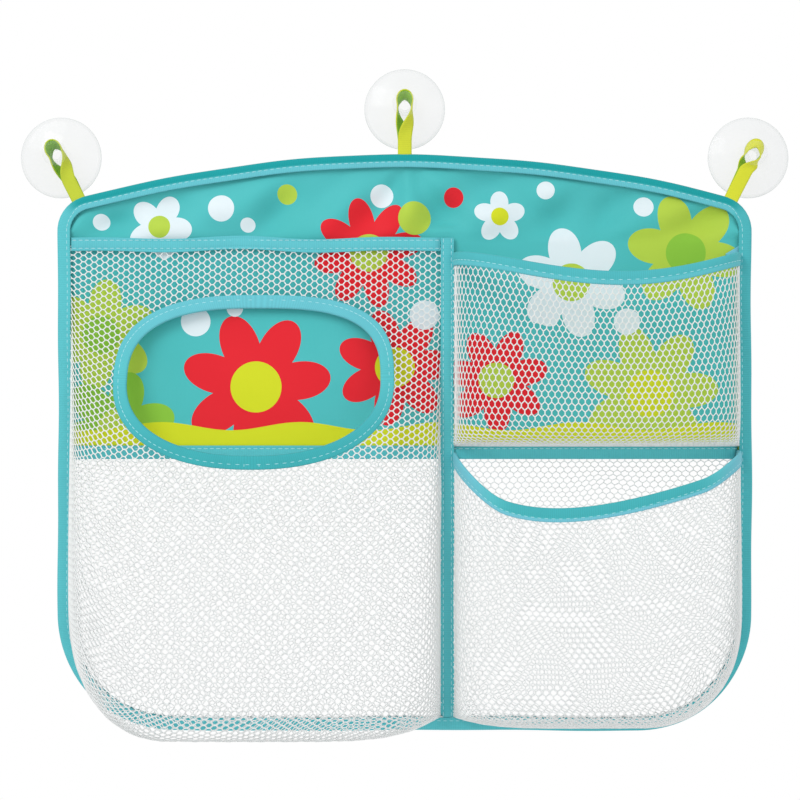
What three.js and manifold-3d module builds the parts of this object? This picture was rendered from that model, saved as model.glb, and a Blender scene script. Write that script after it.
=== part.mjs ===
// Hanging bath toy organizer: a bound cloth panel with three net pockets, hung by loops on suction cups.
// Millimetres, +Z up, the front faces -Y. The wall is the plane Y = 0, and the origin is the middle of
// the centre suction cup on the wall.
import * as THREE from "three";
import { mergeVertices } from "three/addons/utils/BufferGeometryUtils.js";
import Module from "manifold-3d";

const wasm = await Module();
wasm.setup();

// Clearance between neighbours that touch on the sewn product
const CLEARANCE = 0.3;

// Fineness of the facets, and the distance under which points are one
const CURVE_SEGMENTS = 8;
const MERGE_DISTANCE = 1e-4;

// Panel, measured over its edge binding
const PANEL_WIDTH = 424;
const PANEL_HEIGHT = 352;
const BOW_RISE = 30;
const TOP_CORNER_RADIUS = 22;
const BOTTOM_CORNER_RADIUS = 70;
const LEAST_CORNER_RADIUS = 1;

// Cloths and tapes
const CLOTH_THICKNESS = 0.5;
const NET_THICKNESS = 0.8;
const TAPE_THICKNESS = 0.5;
const TAPE_WIDTH = 8.2;
const SEAM_LAP = 2.5;

// Sewn lines, as distances below the panel's peak or right of its middle
const TOP_TAPE_DROP = 55;
const WAIST_DROP = 182;
const DIVIDER_OFFSET = 26;

// Folds of the printed cloth above the pockets: a middle crease, and swells on each side of it
const CREASE_HEIGHT = 2;
const CREASE_WIDTH = 16;
const SWELL_HEIGHT = 1.2;
const SWELL_COUNT = 4;
const CLOTH_COLUMNS = 28;
const CLOTH_ROWS = 9;
const CLOTH_CROWDING = 1.8;

// Drain net of the lower back
const DRAIN_COLUMNS = 12;
const DRAIN_ROWS = 5;
const DRAIN_STRAND = 3;

// Form of every pocket: how square its sides and its belly are, how far forward the net comes, as a share
// of its depth, before it hangs down over its seam, and the grid of the net
const SIDE_SQUARENESS = 5;
const BELLY_SQUARENESS = 2.6;
const DROOP_START = 0.18;
const POCKET_COLUMNS = 16;
const POCKET_ROWS = 11;
const ROW_CROWDING = 2.8;

// Left pocket and its oval mouth
const LEFT_POCKET_DEPTH = 58;
const LEFT_POCKET_DROOP = 12;
const LEFT_BELLY_PLACE = 0.16;
const OVAL_WIDTH = 169;
const OVAL_HEIGHT = 105;
const OVAL_DROP = 27;
const OVAL_SQUARENESS = 2.4;
const OVAL_POINTS = 48;

// Right pockets and their open mouths
const UPPER_POCKET_DEPTH = 42;
const UPPER_BELLY_PLACE = 0.25;
const UPPER_MOUTH_FULLNESS = 0.75;
const UPPER_MOUTH_DROP = 60;
const UPPER_MOUTH_SAG = 14;
const UPPER_SAG_PLACE = 0.55;
const LOWER_POCKET_DEPTH = 55;
const LOWER_POCKET_DROOP = 3;
const LOWER_BELLY_PLACE = 0.25;
const LOWER_MOUTH_FULLNESS = 0.8;
const LOWER_MOUTH_SAG = 27;
const LOWER_SAG_PLACE = 0.34;

// Suction cups: the dome lies on the wall and the neck carries the loop
const CUP_DIAMETER = 50;
const CUP_HEIGHT = 8;
const SUCTION_DEPTH = 3.5;
const LIP_WIDTH = 2.5;
const RIM_THICKNESS = 0.8;
const DOME_FULLNESS = 1.6;
const NECK_DIAMETER = 7;
const HEAD_DIAMETER = 15;
const HEAD_HEIGHT = 4.5;
const HEAD_CHAMFER = 1.1;
const HEAD_CROWN = 2.2;
const CUP_SIDES = 24;
const CUP_RINGS = 6;

// Hanging loops of folded tape
const LOOP_LENGTH = 30;
const LOOP_TAPE_WIDTH = 8.4;
const LOOP_TAPE_THICKNESS = 0.8;
const LOOP_PLAY = 0.8;
const LOOP_LEG_GAP = 0.4;
const LOOP_ROOT_LIFT = 0.7;
const LOOP_TWIST_START = 0.2;
const LOOP_TWIST_END = 0.75;
const LOOP_LEG_STEPS = 10;
const LOOP_BEND_STEPS = 8;
const SIDE_LOOP_LEAN = THREE.MathUtils.degToRad(26);

const WHITE_NET = { color: 0xf4f6f6, roughness: 0.7 };
const TEAL_TAPE = { color: 0x5cc4cc, roughness: 0.75 };
const PRINTED_CLOTH = { color: 0x4cc0c0, roughness: 0.8 };
const LIME_TAPE = { color: 0xcddc2d, roughness: 0.7 };
const CLEAR_PVC = { color: 0xe6eaea, roughness: 0.1 };

// Depths of the layers, from the wall forwards
const neckLength = LOOP_TAPE_WIDTH + 2 * LOOP_PLAY;
const loopPlane = -(CUP_HEIGHT + neckLength / 2);
const slotDepth = CLOTH_THICKNESS + TAPE_THICKNESS + NET_THICKNESS + 4 * CLEARANCE;
const slotBack = loopPlane + slotDepth / 2;
const clothFront = slotBack - CLEARANCE - CLOTH_THICKNESS;
const waistBack = clothFront - CLEARANCE;
const netFront = waistBack - TAPE_THICKNESS - CLEARANCE - NET_THICKNESS;
const surfaceTapeBack = netFront - CLEARANCE;
const bindingBack = slotBack + TAPE_THICKNESS;
const bindingDepth = slotDepth + 2 * TAPE_THICKNESS;

// Heights and places of the sewn lines
const peak = -LOOP_LENGTH;
const panelBottom = peak - PANEL_HEIGHT;
const topTapeZ = peak - TOP_TAPE_DROP;
const waistZ = peak - WAIST_DROP;
const bowRadius = ((PANEL_WIDTH / 2) ** 2 + BOW_RISE ** 2) / (2 * BOW_RISE);
const bowCentre = peak - bowRadius;
const clothInset = TAPE_THICKNESS + CLEARANCE;
const boundInset = TAPE_WIDTH + CLEARANCE;

// Booleans

function solidOf(geometry) {
  const bare = geometry.clone();
  bare.deleteAttribute("normal");
  bare.deleteAttribute("uv");
  const merged = mergeVertices(bare, MERGE_DISTANCE);
  return new wasm.Manifold(
    new wasm.Mesh({
      numProp: 3,
      vertProperties: new Float32Array(merged.attributes.position.array),
      triVerts: new Uint32Array(merged.index.array),
    }),
  );
}

function geometryOf(solid) {
  const mesh = solid.getMesh();
  const geometry = new THREE.BufferGeometry();
  geometry.setAttribute("position", new THREE.BufferAttribute(mesh.vertProperties, 3));
  geometry.setIndex(new THREE.BufferAttribute(mesh.triVerts, 1));
  return geometry;
}

function cut(geometry, tool) {
  return geometryOf(solidOf(geometry).subtract(solidOf(tool)));
}

// Closed solids from points

class SolidBuilder {
  constructor() {
    this.places = [];
    this.triangles = [];
  }

  add(point) {
    this.places.push(point.x, point.y, point.z);
    return this.places.length / 3 - 1;
  }

  quad(a, b, c, d) {
    this.triangles.push(a, b, c, a, c, d);
  }

  triangle(a, b, c) {
    this.triangles.push(a, b, c);
  }

  finish() {
    const geometry = new THREE.BufferGeometry();
    geometry.setAttribute("position", new THREE.Float32BufferAttribute(this.places, 3));
    geometry.setIndex(signedVolume(this) < 0 ? this.triangles.toReversed() : this.triangles);
    return geometry;
  }
}

function signedVolume({ places, triangles }) {
  const corner = (k) => new THREE.Vector3().fromArray(places, 3 * triangles[k]);
  let total = 0;
  for (let k = 0; k < triangles.length; k += 3) {
    total += corner(k).dot(corner(k + 1).cross(corner(k + 2)));
  }
  return total;
}

// Four-cornered sections joined one to the next, as a closed ring or with two flat ends. Opposite sides
// are split along the same diagonal, so that a thin twisted strip doesn't cross itself.
function loft(sections, closed) {
  const builder = new SolidBuilder();
  const rings = sections.map((section) => section.map((point) => builder.add(point)));
  const last = closed ? rings.length : rings.length - 1;
  for (let k = 0; k < last; k += 1) {
    const here = rings[k];
    const next = rings[(k + 1) % rings.length];
    for (let side = 0; side < 4; side += 1) {
      const after = (side + 1) % 4;
      if (side < 2) builder.quad(here[side], here[after], next[after], next[side]);
      else builder.quad(here[after], next[after], next[side], here[side]);
    }
  }
  if (!closed) {
    builder.quad(...rings[0].toReversed());
    builder.quad(...rings.at(-1));
  }
  return builder.finish();
}

// A thick sheet from a grid of front points, with its back set in along the surface's normal
function sheet(grid, thickness) {
  const builder = new SolidBuilder();
  const columns = grid.length - 1;
  const rows = grid[0].length - 1;
  const front = grid.map((column) => column.map((point) => builder.add(point)));
  const back = grid.map((column, i) =>
    column.map((point, j) => builder.add(point.clone().addScaledVector(gridNormal(grid, i, j), -thickness))),
  );
  for (let i = 0; i < columns; i += 1) {
    for (let j = 0; j < rows; j += 1) {
      builder.quad(front[i][j], front[i + 1][j], front[i + 1][j + 1], front[i][j + 1]);
      builder.quad(back[i][j], back[i][j + 1], back[i + 1][j + 1], back[i + 1][j]);
    }
    builder.quad(front[i][0], back[i][0], back[i + 1][0], front[i + 1][0]);
    builder.quad(front[i][rows], front[i + 1][rows], back[i + 1][rows], back[i][rows]);
  }
  for (let j = 0; j < rows; j += 1) {
    builder.quad(front[0][j], front[0][j + 1], back[0][j + 1], back[0][j]);
    builder.quad(front[columns][j], back[columns][j], back[columns][j + 1], front[columns][j + 1]);
  }
  return builder.finish();
}

function gridNormal(grid, i, j) {
  const columns = grid.length - 1;
  const rows = grid[0].length - 1;
  const across = grid[Math.min(i + 1, columns)][j].clone().sub(grid[Math.max(i - 1, 0)][j]);
  const up = grid[i][Math.min(j + 1, rows)].clone().sub(grid[i][Math.max(j - 1, 0)]);
  return across.cross(up).normalize();
}

// A flat slab with its outline in X and Z, from its back face forwards
function slab(shape, back, depth) {
  const options = { depth, bevelEnabled: false, curveSegments: CURVE_SEGMENTS };
  const geometry = new THREE.ExtrudeGeometry(shape, options);
  return geometry.rotateX(Math.PI / 2).translate(0, back, 0);
}

function strip(left, right, low, high, back) {
  const corners = [
    [left, low],
    [right, low],
    [right, high],
    [left, high],
  ];
  const shape = new THREE.Shape(corners.map(([x, z]) => new THREE.Vector2(x, z)));
  return slab(shape, back, TAPE_THICKNESS);
}

// Outline of the panel, set in from its outer edge

function outlineArcs(inset) {
  const half = PANEL_WIDTH / 2 - inset;
  const topRadius = Math.max(TOP_CORNER_RADIUS - inset, LEAST_CORNER_RADIUS);
  const bottomRadius = Math.max(BOTTOM_CORNER_RADIUS - inset, LEAST_CORNER_RADIUS);
  const topX = half - topRadius;
  const reach = bowRadius - inset - topRadius;
  return {
    half,
    topRadius,
    bottomRadius,
    topX,
    topZ: bowCentre + Math.sqrt(reach ** 2 - topX ** 2),
    bottomX: half - bottomRadius,
    bottomZ: panelBottom + inset + bottomRadius,
  };
}

function outlineShape(inset) {
  const arcs = outlineArcs(inset);
  const meet = Math.atan2(arcs.topZ - bowCentre, arcs.topX);
  const shape = new THREE.Shape();
  shape.moveTo(arcs.half, arcs.bottomZ);
  shape.absarc(arcs.topX, arcs.topZ, arcs.topRadius, 0, meet);
  shape.absarc(0, bowCentre, bowRadius - inset, meet, Math.PI - meet);
  shape.absarc(-arcs.topX, arcs.topZ, arcs.topRadius, Math.PI - meet, Math.PI);
  shape.absarc(-arcs.bottomX, arcs.bottomZ, arcs.bottomRadius, Math.PI, 1.5 * Math.PI);
  shape.absarc(arcs.bottomX, arcs.bottomZ, arcs.bottomRadius, 1.5 * Math.PI, 2 * Math.PI);
  return shape;
}

function arcHeight(radius, over) {
  return Math.sqrt(Math.max(radius ** 2 - Math.max(over, 0) ** 2, 0));
}

function outlineBottom(x, inset) {
  const arcs = outlineArcs(inset);
  return arcs.bottomZ - arcHeight(arcs.bottomRadius, Math.abs(x) - arcs.bottomX);
}

function outlineTop(x, inset) {
  const arcs = outlineArcs(inset);
  const tangent = (arcs.topX * (bowRadius - inset)) / (bowRadius - inset - arcs.topRadius);
  if (Math.abs(x) <= tangent) return bowCentre + arcHeight(bowRadius - inset, Math.abs(x));
  return arcs.topZ + arcHeight(arcs.topRadius, Math.abs(x) - arcs.topX);
}

function outlineHalfWidth(z, inset) {
  const arcs = outlineArcs(inset);
  const above = arcs.topX + arcHeight(arcs.topRadius, z - arcs.topZ);
  const below = arcs.bottomX + arcHeight(arcs.bottomRadius, arcs.bottomZ - z);
  return z > arcs.topZ ? above : Math.min(below, arcs.half);
}

// Edge binding: a tape folded round the panel's rim, with a slot for the layers it holds
function edgeBinding() {
  const ring = outlineShape(0);
  ring.holes.push(outlineShape(TAPE_WIDTH));
  return cut(slab(ring, bindingBack, bindingDepth), slab(outlineShape(TAPE_THICKNESS), slotBack, slotDepth));
}

// Printed cloth of the upper back, with its middle crease and soft swells above the pockets

function clothFold(x, z) {
  const low = topTapeZ + TAPE_WIDTH / 2;
  const high = outlineTop(x, boundInset);
  const share = THREE.MathUtils.clamp((z - low) / (high - low), 0, 1);
  const across = Math.min(Math.abs(x) / outlineArcs(boundInset).half, 1);
  const crease = CREASE_HEIGHT * Math.max(1 - Math.abs(x) / CREASE_WIDTH, 0);
  const swell = SWELL_HEIGHT * Math.sin(Math.PI * Math.round(SWELL_COUNT) * across) ** 2;
  return Math.sin(Math.PI * share) * (crease - swell);
}

function printedPanel() {
  const columns = Math.round(CLOTH_COLUMNS);
  const rows = Math.round(CLOTH_ROWS);
  const bottom = waistZ + CLEARANCE / 2;
  const half = outlineArcs(clothInset).half;
  const grid = [];
  for (let i = 0; i <= columns; i += 1) {
    const x = -half * Math.cos((Math.PI * i) / columns);
    const high = outlineTop(x, boundInset);
    const column = [];
    for (let j = 0; j <= rows; j += 1) {
      const z = THREE.MathUtils.lerp(high, bottom, (1 - j / rows) ** CLOTH_CROWDING);
      column.push(new THREE.Vector3(x, clothFront - clothFold(x, z), z));
    }
    column.push(new THREE.Vector3(x, clothFront, outlineTop(x, clothInset)));
    grid.push(column);
  }
  return sheet(grid, CLOTH_THICKNESS);
}

// Drain net of the lower back: diamond gaps inside a plain hem

function drainNet() {
  const half = outlineArcs(clothInset).half;
  const hemInset = TAPE_WIDTH + SEAM_LAP;
  const inner = outlineArcs(hemInset).half;
  const top = waistZ - CLEARANCE / 2;
  const high = top - TAPE_WIDTH / 2 - SEAM_LAP;
  const columns = 2 * Math.round(DRAIN_COLUMNS);
  const rows = 2 * Math.round(DRAIN_ROWS);
  const place = (i, j) => {
    const x = THREE.MathUtils.lerp(-inner, inner, i / columns);
    return new THREE.Vector2(x, THREE.MathUtils.lerp(outlineBottom(x, hemInset), high, j / rows));
  };
  const edge = (i, j) => {
    const x = i === 0 ? -half : i === columns ? half : place(i, j).x;
    const low = outlineBottom(x, clothInset);
    const z = j === 0 ? low : j === rows ? top : THREE.MathUtils.lerp(low, top, j / rows);
    return new THREE.Vector2(x, z);
  };
  const builder = new SolidBuilder();
  const pair = (spot) =>
    [clothFront, clothFront + CLOTH_THICKNESS].map((y) => builder.add(new THREE.Vector3(spot.x, y, spot.y)));
  const knots = new Map();
  const knot = (i, j) => {
    const key = `${i},${j}`;
    if (!knots.has(key)) knots.set(key, pair(place(i, j)));
    return knots.get(key);
  };
  const facing = (a, b, c, d) => {
    builder.quad(a[0], b[0], c[0], d[0]);
    builder.quad(d[1], c[1], b[1], a[1]);
  };
  const wall = (a, b) => builder.quad(b[0], b[1], a[1], a[0]);

  for (let i = 0; i <= columns; i += 1) {
    for (let j = (i + 1) % 2; j <= rows; j += 2) {
      const around = [
        [i - 1, j],
        [i, j - 1],
        [i + 1, j],
        [i, j + 1],
      ].filter(([a, b]) => a >= 0 && b >= 0 && a <= columns && b <= rows);
      if (around.length < 4) {
        const [a, b, c] = around.map(([p, q]) => knot(p, q));
        builder.triangle(a[0], b[0], c[0]);
        builder.triangle(c[1], b[1], a[1]);
        continue;
      }
      const centre = place(i, j);
      const rim = around.map(([a, b]) => knot(a, b));
      const gap = around.map(([a, b]) => pair(place(a, b).lerp(centre, strandShare(place, i, j))));
      for (let side = 0; side < 4; side += 1) {
        const after = (side + 1) % 4;
        facing(rim[side], rim[after], gap[after], gap[side]);
        wall(gap[side], gap[after]);
      }
    }
  }

  const border = [];
  for (let i = 0; i < columns; i += 2) border.push([i, 0]);
  for (let j = 0; j < rows; j += 2) border.push([columns, j]);
  for (let i = columns; i > 0; i -= 2) border.push([i, rows]);
  for (let j = rows; j > 0; j -= 2) border.push([0, j]);
  const hemmed = border.map(([i, j]) => ({ inside: knot(i, j), outside: pair(edge(i, j)) }));
  hemmed.forEach((here, k) => {
    const next = hemmed[(k + 1) % hemmed.length];
    facing(here.outside, next.outside, next.inside, here.inside);
    wall(next.outside, here.outside);
  });
  return builder.finish();
}

// How far a gap's corner moves from its knot to the gap's middle, so that strands keep their width
function strandShare(place, i, j) {
  const across = (place(i + 1, j).x - place(i - 1, j).x) / 2;
  const up = (place(i, j + 1).y - place(i, j - 1).y) / 2;
  return DRAIN_STRAND / 2 / ((across * up) / Math.hypot(across, up));
}

// Pockets: a net sewn flat at its edges that bulges forwards between them and sags below its belly

function pocket({ left, from, to, right, bottom, low, high, top, depth, belly, mouthFullness, droop = 0 }) {
  const side = (x) => {
    const across = THREE.MathUtils.clamp((x - from) / (to - from), 0, 1);
    return Math.sqrt(1 - Math.abs(2 * across - 1) ** SIDE_SQUARENESS);
  };
  const lift = (upShare) => {
    const short = 1 - Math.min(upShare / belly, 1);
    return (1 - short ** BELLY_SQUARENESS) ** (1 / BELLY_SQUARENESS);
  };
  const bulge = (x, upShare) => {
    const fall = THREE.MathUtils.smoothstep(upShare, belly, 1);
    return depth * side(x) * lift(upShare) * THREE.MathUtils.lerp(1, mouthFullness, fall);
  };
  const sag = (x, upShare) => {
    const hanging = THREE.MathUtils.clamp((lift(upShare) - DROOP_START) / (1 - DROOP_START), 0, 1);
    return droop * side(x) ** 2 * Math.sin(Math.PI * hanging);
  };
  const front = (x, z) => {
    const upShare = THREE.MathUtils.clamp((z - low(x)) / (high(x) - low(x)), 0, 1);
    return netFront - bulge(x, upShare);
  };
  return { left, right, from, to, bottom, top, low, high, bulge, sag, front };
}

// Places across a pocket, crowded towards its steep sides
function pocketStations(shape) {
  const columns = Math.round(POCKET_COLUMNS);
  const stations = [];
  for (let i = 0; i <= columns; i += 1) {
    const share = (1 - Math.cos((Math.PI * i) / columns)) / 2;
    stations.push(THREE.MathUtils.lerp(shape.from, shape.to, share));
  }
  return stations;
}

function pocketNet(shape) {
  const rows = Math.round(POCKET_ROWS);
  const grid = [shape.left, ...pocketStations(shape), shape.right].map((x) => {
    const column = [new THREE.Vector3(x, netFront, shape.bottom(x))];
    for (let j = 0; j <= rows; j += 1) {
      const share = (j / rows) ** ROW_CROWDING;
      const z = THREE.MathUtils.lerp(shape.low(x), shape.high(x), share) - shape.sag(x, share);
      column.push(new THREE.Vector3(x, netFront - shape.bulge(x, share), z));
    }
    column.push(new THREE.Vector3(x, netFront - shape.bulge(x, 1), shape.top(x)));
    return column;
  });
  return sheet(grid, NET_THICKNESS);
}

// Folded tape over a pocket's open mouth
function mouthBinding(shape, mouth) {
  const half = NET_THICKNESS / 2 + TAPE_THICKNESS;
  const stations = pocketStations(shape);
  const line = stations.map((x) => new THREE.Vector2(x, netFront + NET_THICKNESS / 2 - shape.bulge(x, 1)));
  const sections = stations.map((x, k) => {
    const isEnd = k === 0 || k === stations.length - 1;
    const along = isEnd ? new THREE.Vector2(1, 0) : line[k + 1].clone().sub(line[k - 1]).normalize();
    const out = new THREE.Vector2(along.y, -along.x).multiplyScalar(half);
    const front = line[k].clone().add(out);
    const back = line[k].clone().sub(out);
    const high = mouth(x);
    const low = high - TAPE_WIDTH;
    return [
      new THREE.Vector3(front.x, front.y, low),
      new THREE.Vector3(front.x, front.y, high),
      new THREE.Vector3(back.x, back.y, high),
      new THREE.Vector3(back.x, back.y, low),
    ];
  });
  return loft(sections, false);
}

function saggingMouth(height, sag, place) {
  const start = DIVIDER_OFFSET + TAPE_WIDTH / 2;
  const end = PANEL_WIDTH / 2 - TAPE_WIDTH;
  const skew = Math.log(0.5) / Math.log(place);
  return (x) => {
    const share = THREE.MathUtils.clamp((x - start) / (end - start), 0, 1);
    return height - sag * Math.sin(Math.PI * share ** skew);
  };
}

const boundBottom = (x) => outlineBottom(x, clothInset);
const boundLow = (x) => outlineBottom(x, boundInset);
const upperMouth = saggingMouth(peak - UPPER_MOUTH_DROP, UPPER_MOUTH_SAG, UPPER_SAG_PLACE);
const lowerMouth = saggingMouth(waistZ - TAPE_WIDTH / 2 - CLEARANCE, LOWER_MOUTH_SAG, LOWER_SAG_PLACE);
const underMouth = (mouth) => (x) => mouth(x) - TAPE_WIDTH - CLEARANCE;
const hemUnderMouth = (mouth) => (x) => underMouth(mouth)(x) - SEAM_LAP;
const rightSides = {
  left: DIVIDER_OFFSET + CLEARANCE / 2,
  from: DIVIDER_OFFSET + TAPE_WIDTH / 2 + CLEARANCE,
  to: PANEL_WIDTH / 2 - boundInset,
  right: PANEL_WIDTH / 2 - clothInset,
};

const leftPocket = pocket({
  left: -PANEL_WIDTH / 2 + clothInset,
  from: -PANEL_WIDTH / 2 + boundInset,
  to: DIVIDER_OFFSET - TAPE_WIDTH / 2 - CLEARANCE,
  right: DIVIDER_OFFSET - CLEARANCE / 2,
  bottom: boundBottom,
  low: boundLow,
  high: () => topTapeZ - TAPE_WIDTH / 2 - CLEARANCE,
  top: () => topTapeZ,
  depth: LEFT_POCKET_DEPTH,
  droop: LEFT_POCKET_DROOP,
  belly: LEFT_BELLY_PLACE,
  mouthFullness: 0,
});
const upperPocket = pocket({
  ...rightSides,
  bottom: () => waistZ + TAPE_WIDTH / 2 - SEAM_LAP,
  low: () => waistZ + TAPE_WIDTH / 2,
  high: hemUnderMouth(upperMouth),
  top: underMouth(upperMouth),
  depth: UPPER_POCKET_DEPTH,
  belly: UPPER_BELLY_PLACE,
  mouthFullness: UPPER_MOUTH_FULLNESS,
});
const lowerPocket = pocket({
  ...rightSides,
  bottom: boundBottom,
  low: boundLow,
  high: hemUnderMouth(lowerMouth),
  top: underMouth(lowerMouth),
  depth: LOWER_POCKET_DEPTH,
  droop: LOWER_POCKET_DROOP,
  belly: LOWER_BELLY_PLACE,
  mouthFullness: LOWER_MOUTH_FULLNESS,
});

// Oval mouth of the left pocket

const ovalPoints = Math.round(OVAL_POINTS);
const ovalX = (leftPocket.from + leftPocket.to) / 2;
const ovalZ = topTapeZ - TAPE_WIDTH / 2 - OVAL_DROP - OVAL_HEIGHT / 2;

function ovalPoint(k, inset) {
  const angle = (2 * Math.PI * k) / ovalPoints;
  const bend = (value) => Math.sign(value) * Math.abs(value) ** (2 / OVAL_SQUARENESS);
  return new THREE.Vector2(
    ovalX + (OVAL_WIDTH / 2 - inset) * bend(Math.cos(angle)),
    ovalZ + (OVAL_HEIGHT / 2 - inset) * bend(Math.sin(angle)),
  );
}

function ovalBinding() {
  const sections = [];
  for (let k = 0; k < ovalPoints; k += 1) {
    const places = [ovalPoint(k, 0), ovalPoint(k, TAPE_WIDTH)];
    const [outer, inner] = places.map((spot) => {
      const front = leftPocket.front(spot.x, spot.y);
      return [front - TAPE_THICKNESS, front + NET_THICKNESS + TAPE_THICKNESS].map(
        (y) => new THREE.Vector3(spot.x, y, spot.y),
      );
    });
    sections.push([outer[0], inner[0], inner[1], outer[1]]);
  }
  return loft(sections, true);
}

function leftPocketNet() {
  const points = [];
  for (let k = 0; k < ovalPoints; k += 1) points.push(ovalPoint(k, -CLEARANCE));
  const reach = LEFT_POCKET_DEPTH - netFront + CLEARANCE;
  return cut(pocketNet(leftPocket), slab(new THREE.Shape(points), 0, reach));
}

// Straight tapes sewn over the cloth

function topTape() {
  const high = topTapeZ + TAPE_WIDTH / 2;
  const left = -outlineHalfWidth(high, TAPE_WIDTH) + CLEARANCE;
  const right = DIVIDER_OFFSET - TAPE_WIDTH / 2 - CLEARANCE;
  return strip(left, right, high - TAPE_WIDTH, high, surfaceTapeBack);
}

function dividerTape() {
  const low = outlineBottom(DIVIDER_OFFSET, TAPE_WIDTH) + CLEARANCE;
  const high = topTapeZ + TAPE_WIDTH / 2;
  const half = TAPE_WIDTH / 2;
  return strip(DIVIDER_OFFSET - half, DIVIDER_OFFSET + half, low, high, surfaceTapeBack);
}

function waistTape() {
  const reach = outlineHalfWidth(waistZ, TAPE_WIDTH) - CLEARANCE;
  return strip(-reach, reach, waistZ - TAPE_WIDTH / 2, waistZ + TAPE_WIDTH / 2, waistBack);
}

// Suction cup: one moulded piece turned about Y, with its lip on the wall
function suctionCup() {
  const radius = CUP_DIAMETER / 2;
  const hollow = radius - LIP_WIDTH;
  const neck = NECK_DIAMETER / 2;
  const head = HEAD_DIAMETER / 2;
  const headBack = -CUP_HEIGHT - neckLength;
  const headFront = headBack - HEAD_HEIGHT;
  const profile = [];
  const rings = Math.round(CUP_RINGS);
  for (let k = 0; k <= rings; k += 1) {
    profile.push([(hollow * k) / rings, -SUCTION_DEPTH * (1 - (k / rings) ** 2)]);
  }
  profile.push([radius, 0]);
  for (let k = rings; k >= 0; k -= 1) {
    const share = k / rings;
    const height = THREE.MathUtils.lerp(CUP_HEIGHT, RIM_THICKNESS, share ** DOME_FULLNESS);
    profile.push([THREE.MathUtils.lerp(neck, radius, share), -height]);
  }
  profile.push([neck, headBack], [head, headBack - HEAD_CHAMFER], [head, headFront + HEAD_CROWN]);
  profile.push([head - HEAD_CROWN, headFront], [0, headFront]);
  return new THREE.LatheGeometry(
    profile.toReversed().map(([r, y]) => new THREE.Vector2(r, y)),
    CUP_SIDES,
  );
}

// Hanging loop in its own frame: its seam in the binding is at the origin and it stands up along Z.
// Its two legs lie flat together at the seam, twist a quarter turn and part round the cup's neck.
function hangingLoop() {
  const half = LOOP_TAPE_THICKNESS / 2;
  const bend = NECK_DIAMETER / 2 + CLEARANCE + half;
  const root = LOOP_LEG_GAP / 2 + half;
  const legSteps = Math.round(LOOP_LEG_STEPS);
  const bendSteps = Math.round(LOOP_BEND_STEPS);
  const wide = LOOP_TAPE_WIDTH / 2;
  const section = (spot, out, across) =>
    [
      [half, wide],
      [half, -wide],
      [-half, -wide],
      [-half, wide],
    ].map(([a, b]) => spot.clone().addScaledVector(out, a).addScaledVector(across, b));
  const legSection = (side, share) => {
    const turn = (Math.PI / 2) * THREE.MathUtils.smoothstep(share, LOOP_TWIST_START, LOOP_TWIST_END);
    const out = new THREE.Vector3(Math.sin(turn), -Math.cos(turn), 0);
    const across = new THREE.Vector3(Math.cos(turn), Math.sin(turn), 0);
    const spread = THREE.MathUtils.lerp(root, bend, THREE.MathUtils.smoothstep(share, 0, 1));
    const height = THREE.MathUtils.lerp(LOOP_ROOT_LIFT, LOOP_LENGTH, share);
    const spot = out.clone().multiplyScalar(side * spread).setZ(height);
    return section(spot, out.multiplyScalar(side), across);
  };
  const sections = [];
  for (let k = 0; k <= legSteps; k += 1) sections.push(legSection(1, k / legSteps));
  for (let k = 1; k < bendSteps; k += 1) {
    const angle = (Math.PI * k) / bendSteps;
    const out = new THREE.Vector3(Math.cos(angle), 0, Math.sin(angle));
    const spot = out.clone().multiplyScalar(bend);
    spot.z += LOOP_LENGTH;
    sections.push(section(spot, out, new THREE.Vector3(0, 1, 0)));
  }
  for (let k = legSteps; k >= 0; k -= 1) sections.push(legSection(-1, k / legSteps));
  return loft(sections, false);
}

// Assembly

const organizer = new THREE.Group();

function place(parent, name, geometry, finish) {
  const mesh = new THREE.Mesh(geometry, new THREE.MeshStandardMaterial({ metalness: 0, ...finish }));
  mesh.name = name;
  parent.add(mesh);
}

place(organizer, "printed_back_panel", printedPanel(), PRINTED_CLOTH);
place(organizer, "drain_net_panel", drainNet(), WHITE_NET);
place(organizer, "edge_binding", edgeBinding(), TEAL_TAPE);
place(organizer, "waist_tape", waistTape(), TEAL_TAPE);
place(organizer, "divider_tape", dividerTape(), TEAL_TAPE);
place(organizer, "left_pocket_net", leftPocketNet(), WHITE_NET);
place(organizer, "left_pocket_top_tape", topTape(), TEAL_TAPE);
place(organizer, "oval_mouth_binding", ovalBinding(), TEAL_TAPE);
place(organizer, "upper_pocket_net", pocketNet(upperPocket), WHITE_NET);
place(organizer, "upper_mouth_binding", mouthBinding(upperPocket, upperMouth), TEAL_TAPE);
place(organizer, "lower_pocket_net", pocketNet(lowerPocket), WHITE_NET);
place(organizer, "lower_mouth_binding", mouthBinding(lowerPocket, lowerMouth), TEAL_TAPE);

// Each loop stands square to the binding, with its cup at the top: the side loops start from the
// middles of the panel's top corners.
const corner = outlineArcs(0);
const seams = [
  { side: "left", lean: SIDE_LOOP_LEAN, x: -corner.topX, z: corner.topZ },
  { side: "centre", lean: 0, x: 0, z: peak },
  { side: "right", lean: -SIDE_LOOP_LEAN, x: corner.topX, z: corner.topZ },
];
for (const { side, lean, x, z } of seams) {
  const reach = lean === 0 ? 0 : corner.topRadius;
  const hanger = new THREE.Group();
  hanger.position.set(x - reach * Math.sin(lean), loopPlane, z + reach * Math.cos(lean));
  hanger.rotation.y = -lean;
  organizer.add(hanger);
  place(hanger, `${side}_loop`, hangingLoop(), LIME_TAPE);
  const seat = new THREE.Group();
  seat.position.set(0, -loopPlane, LOOP_LENGTH);
  hanger.add(seat);
  place(seat, `${side}_suction_cup`, suctionCup(), CLEAR_PVC);
}

export default organizer;
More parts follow.
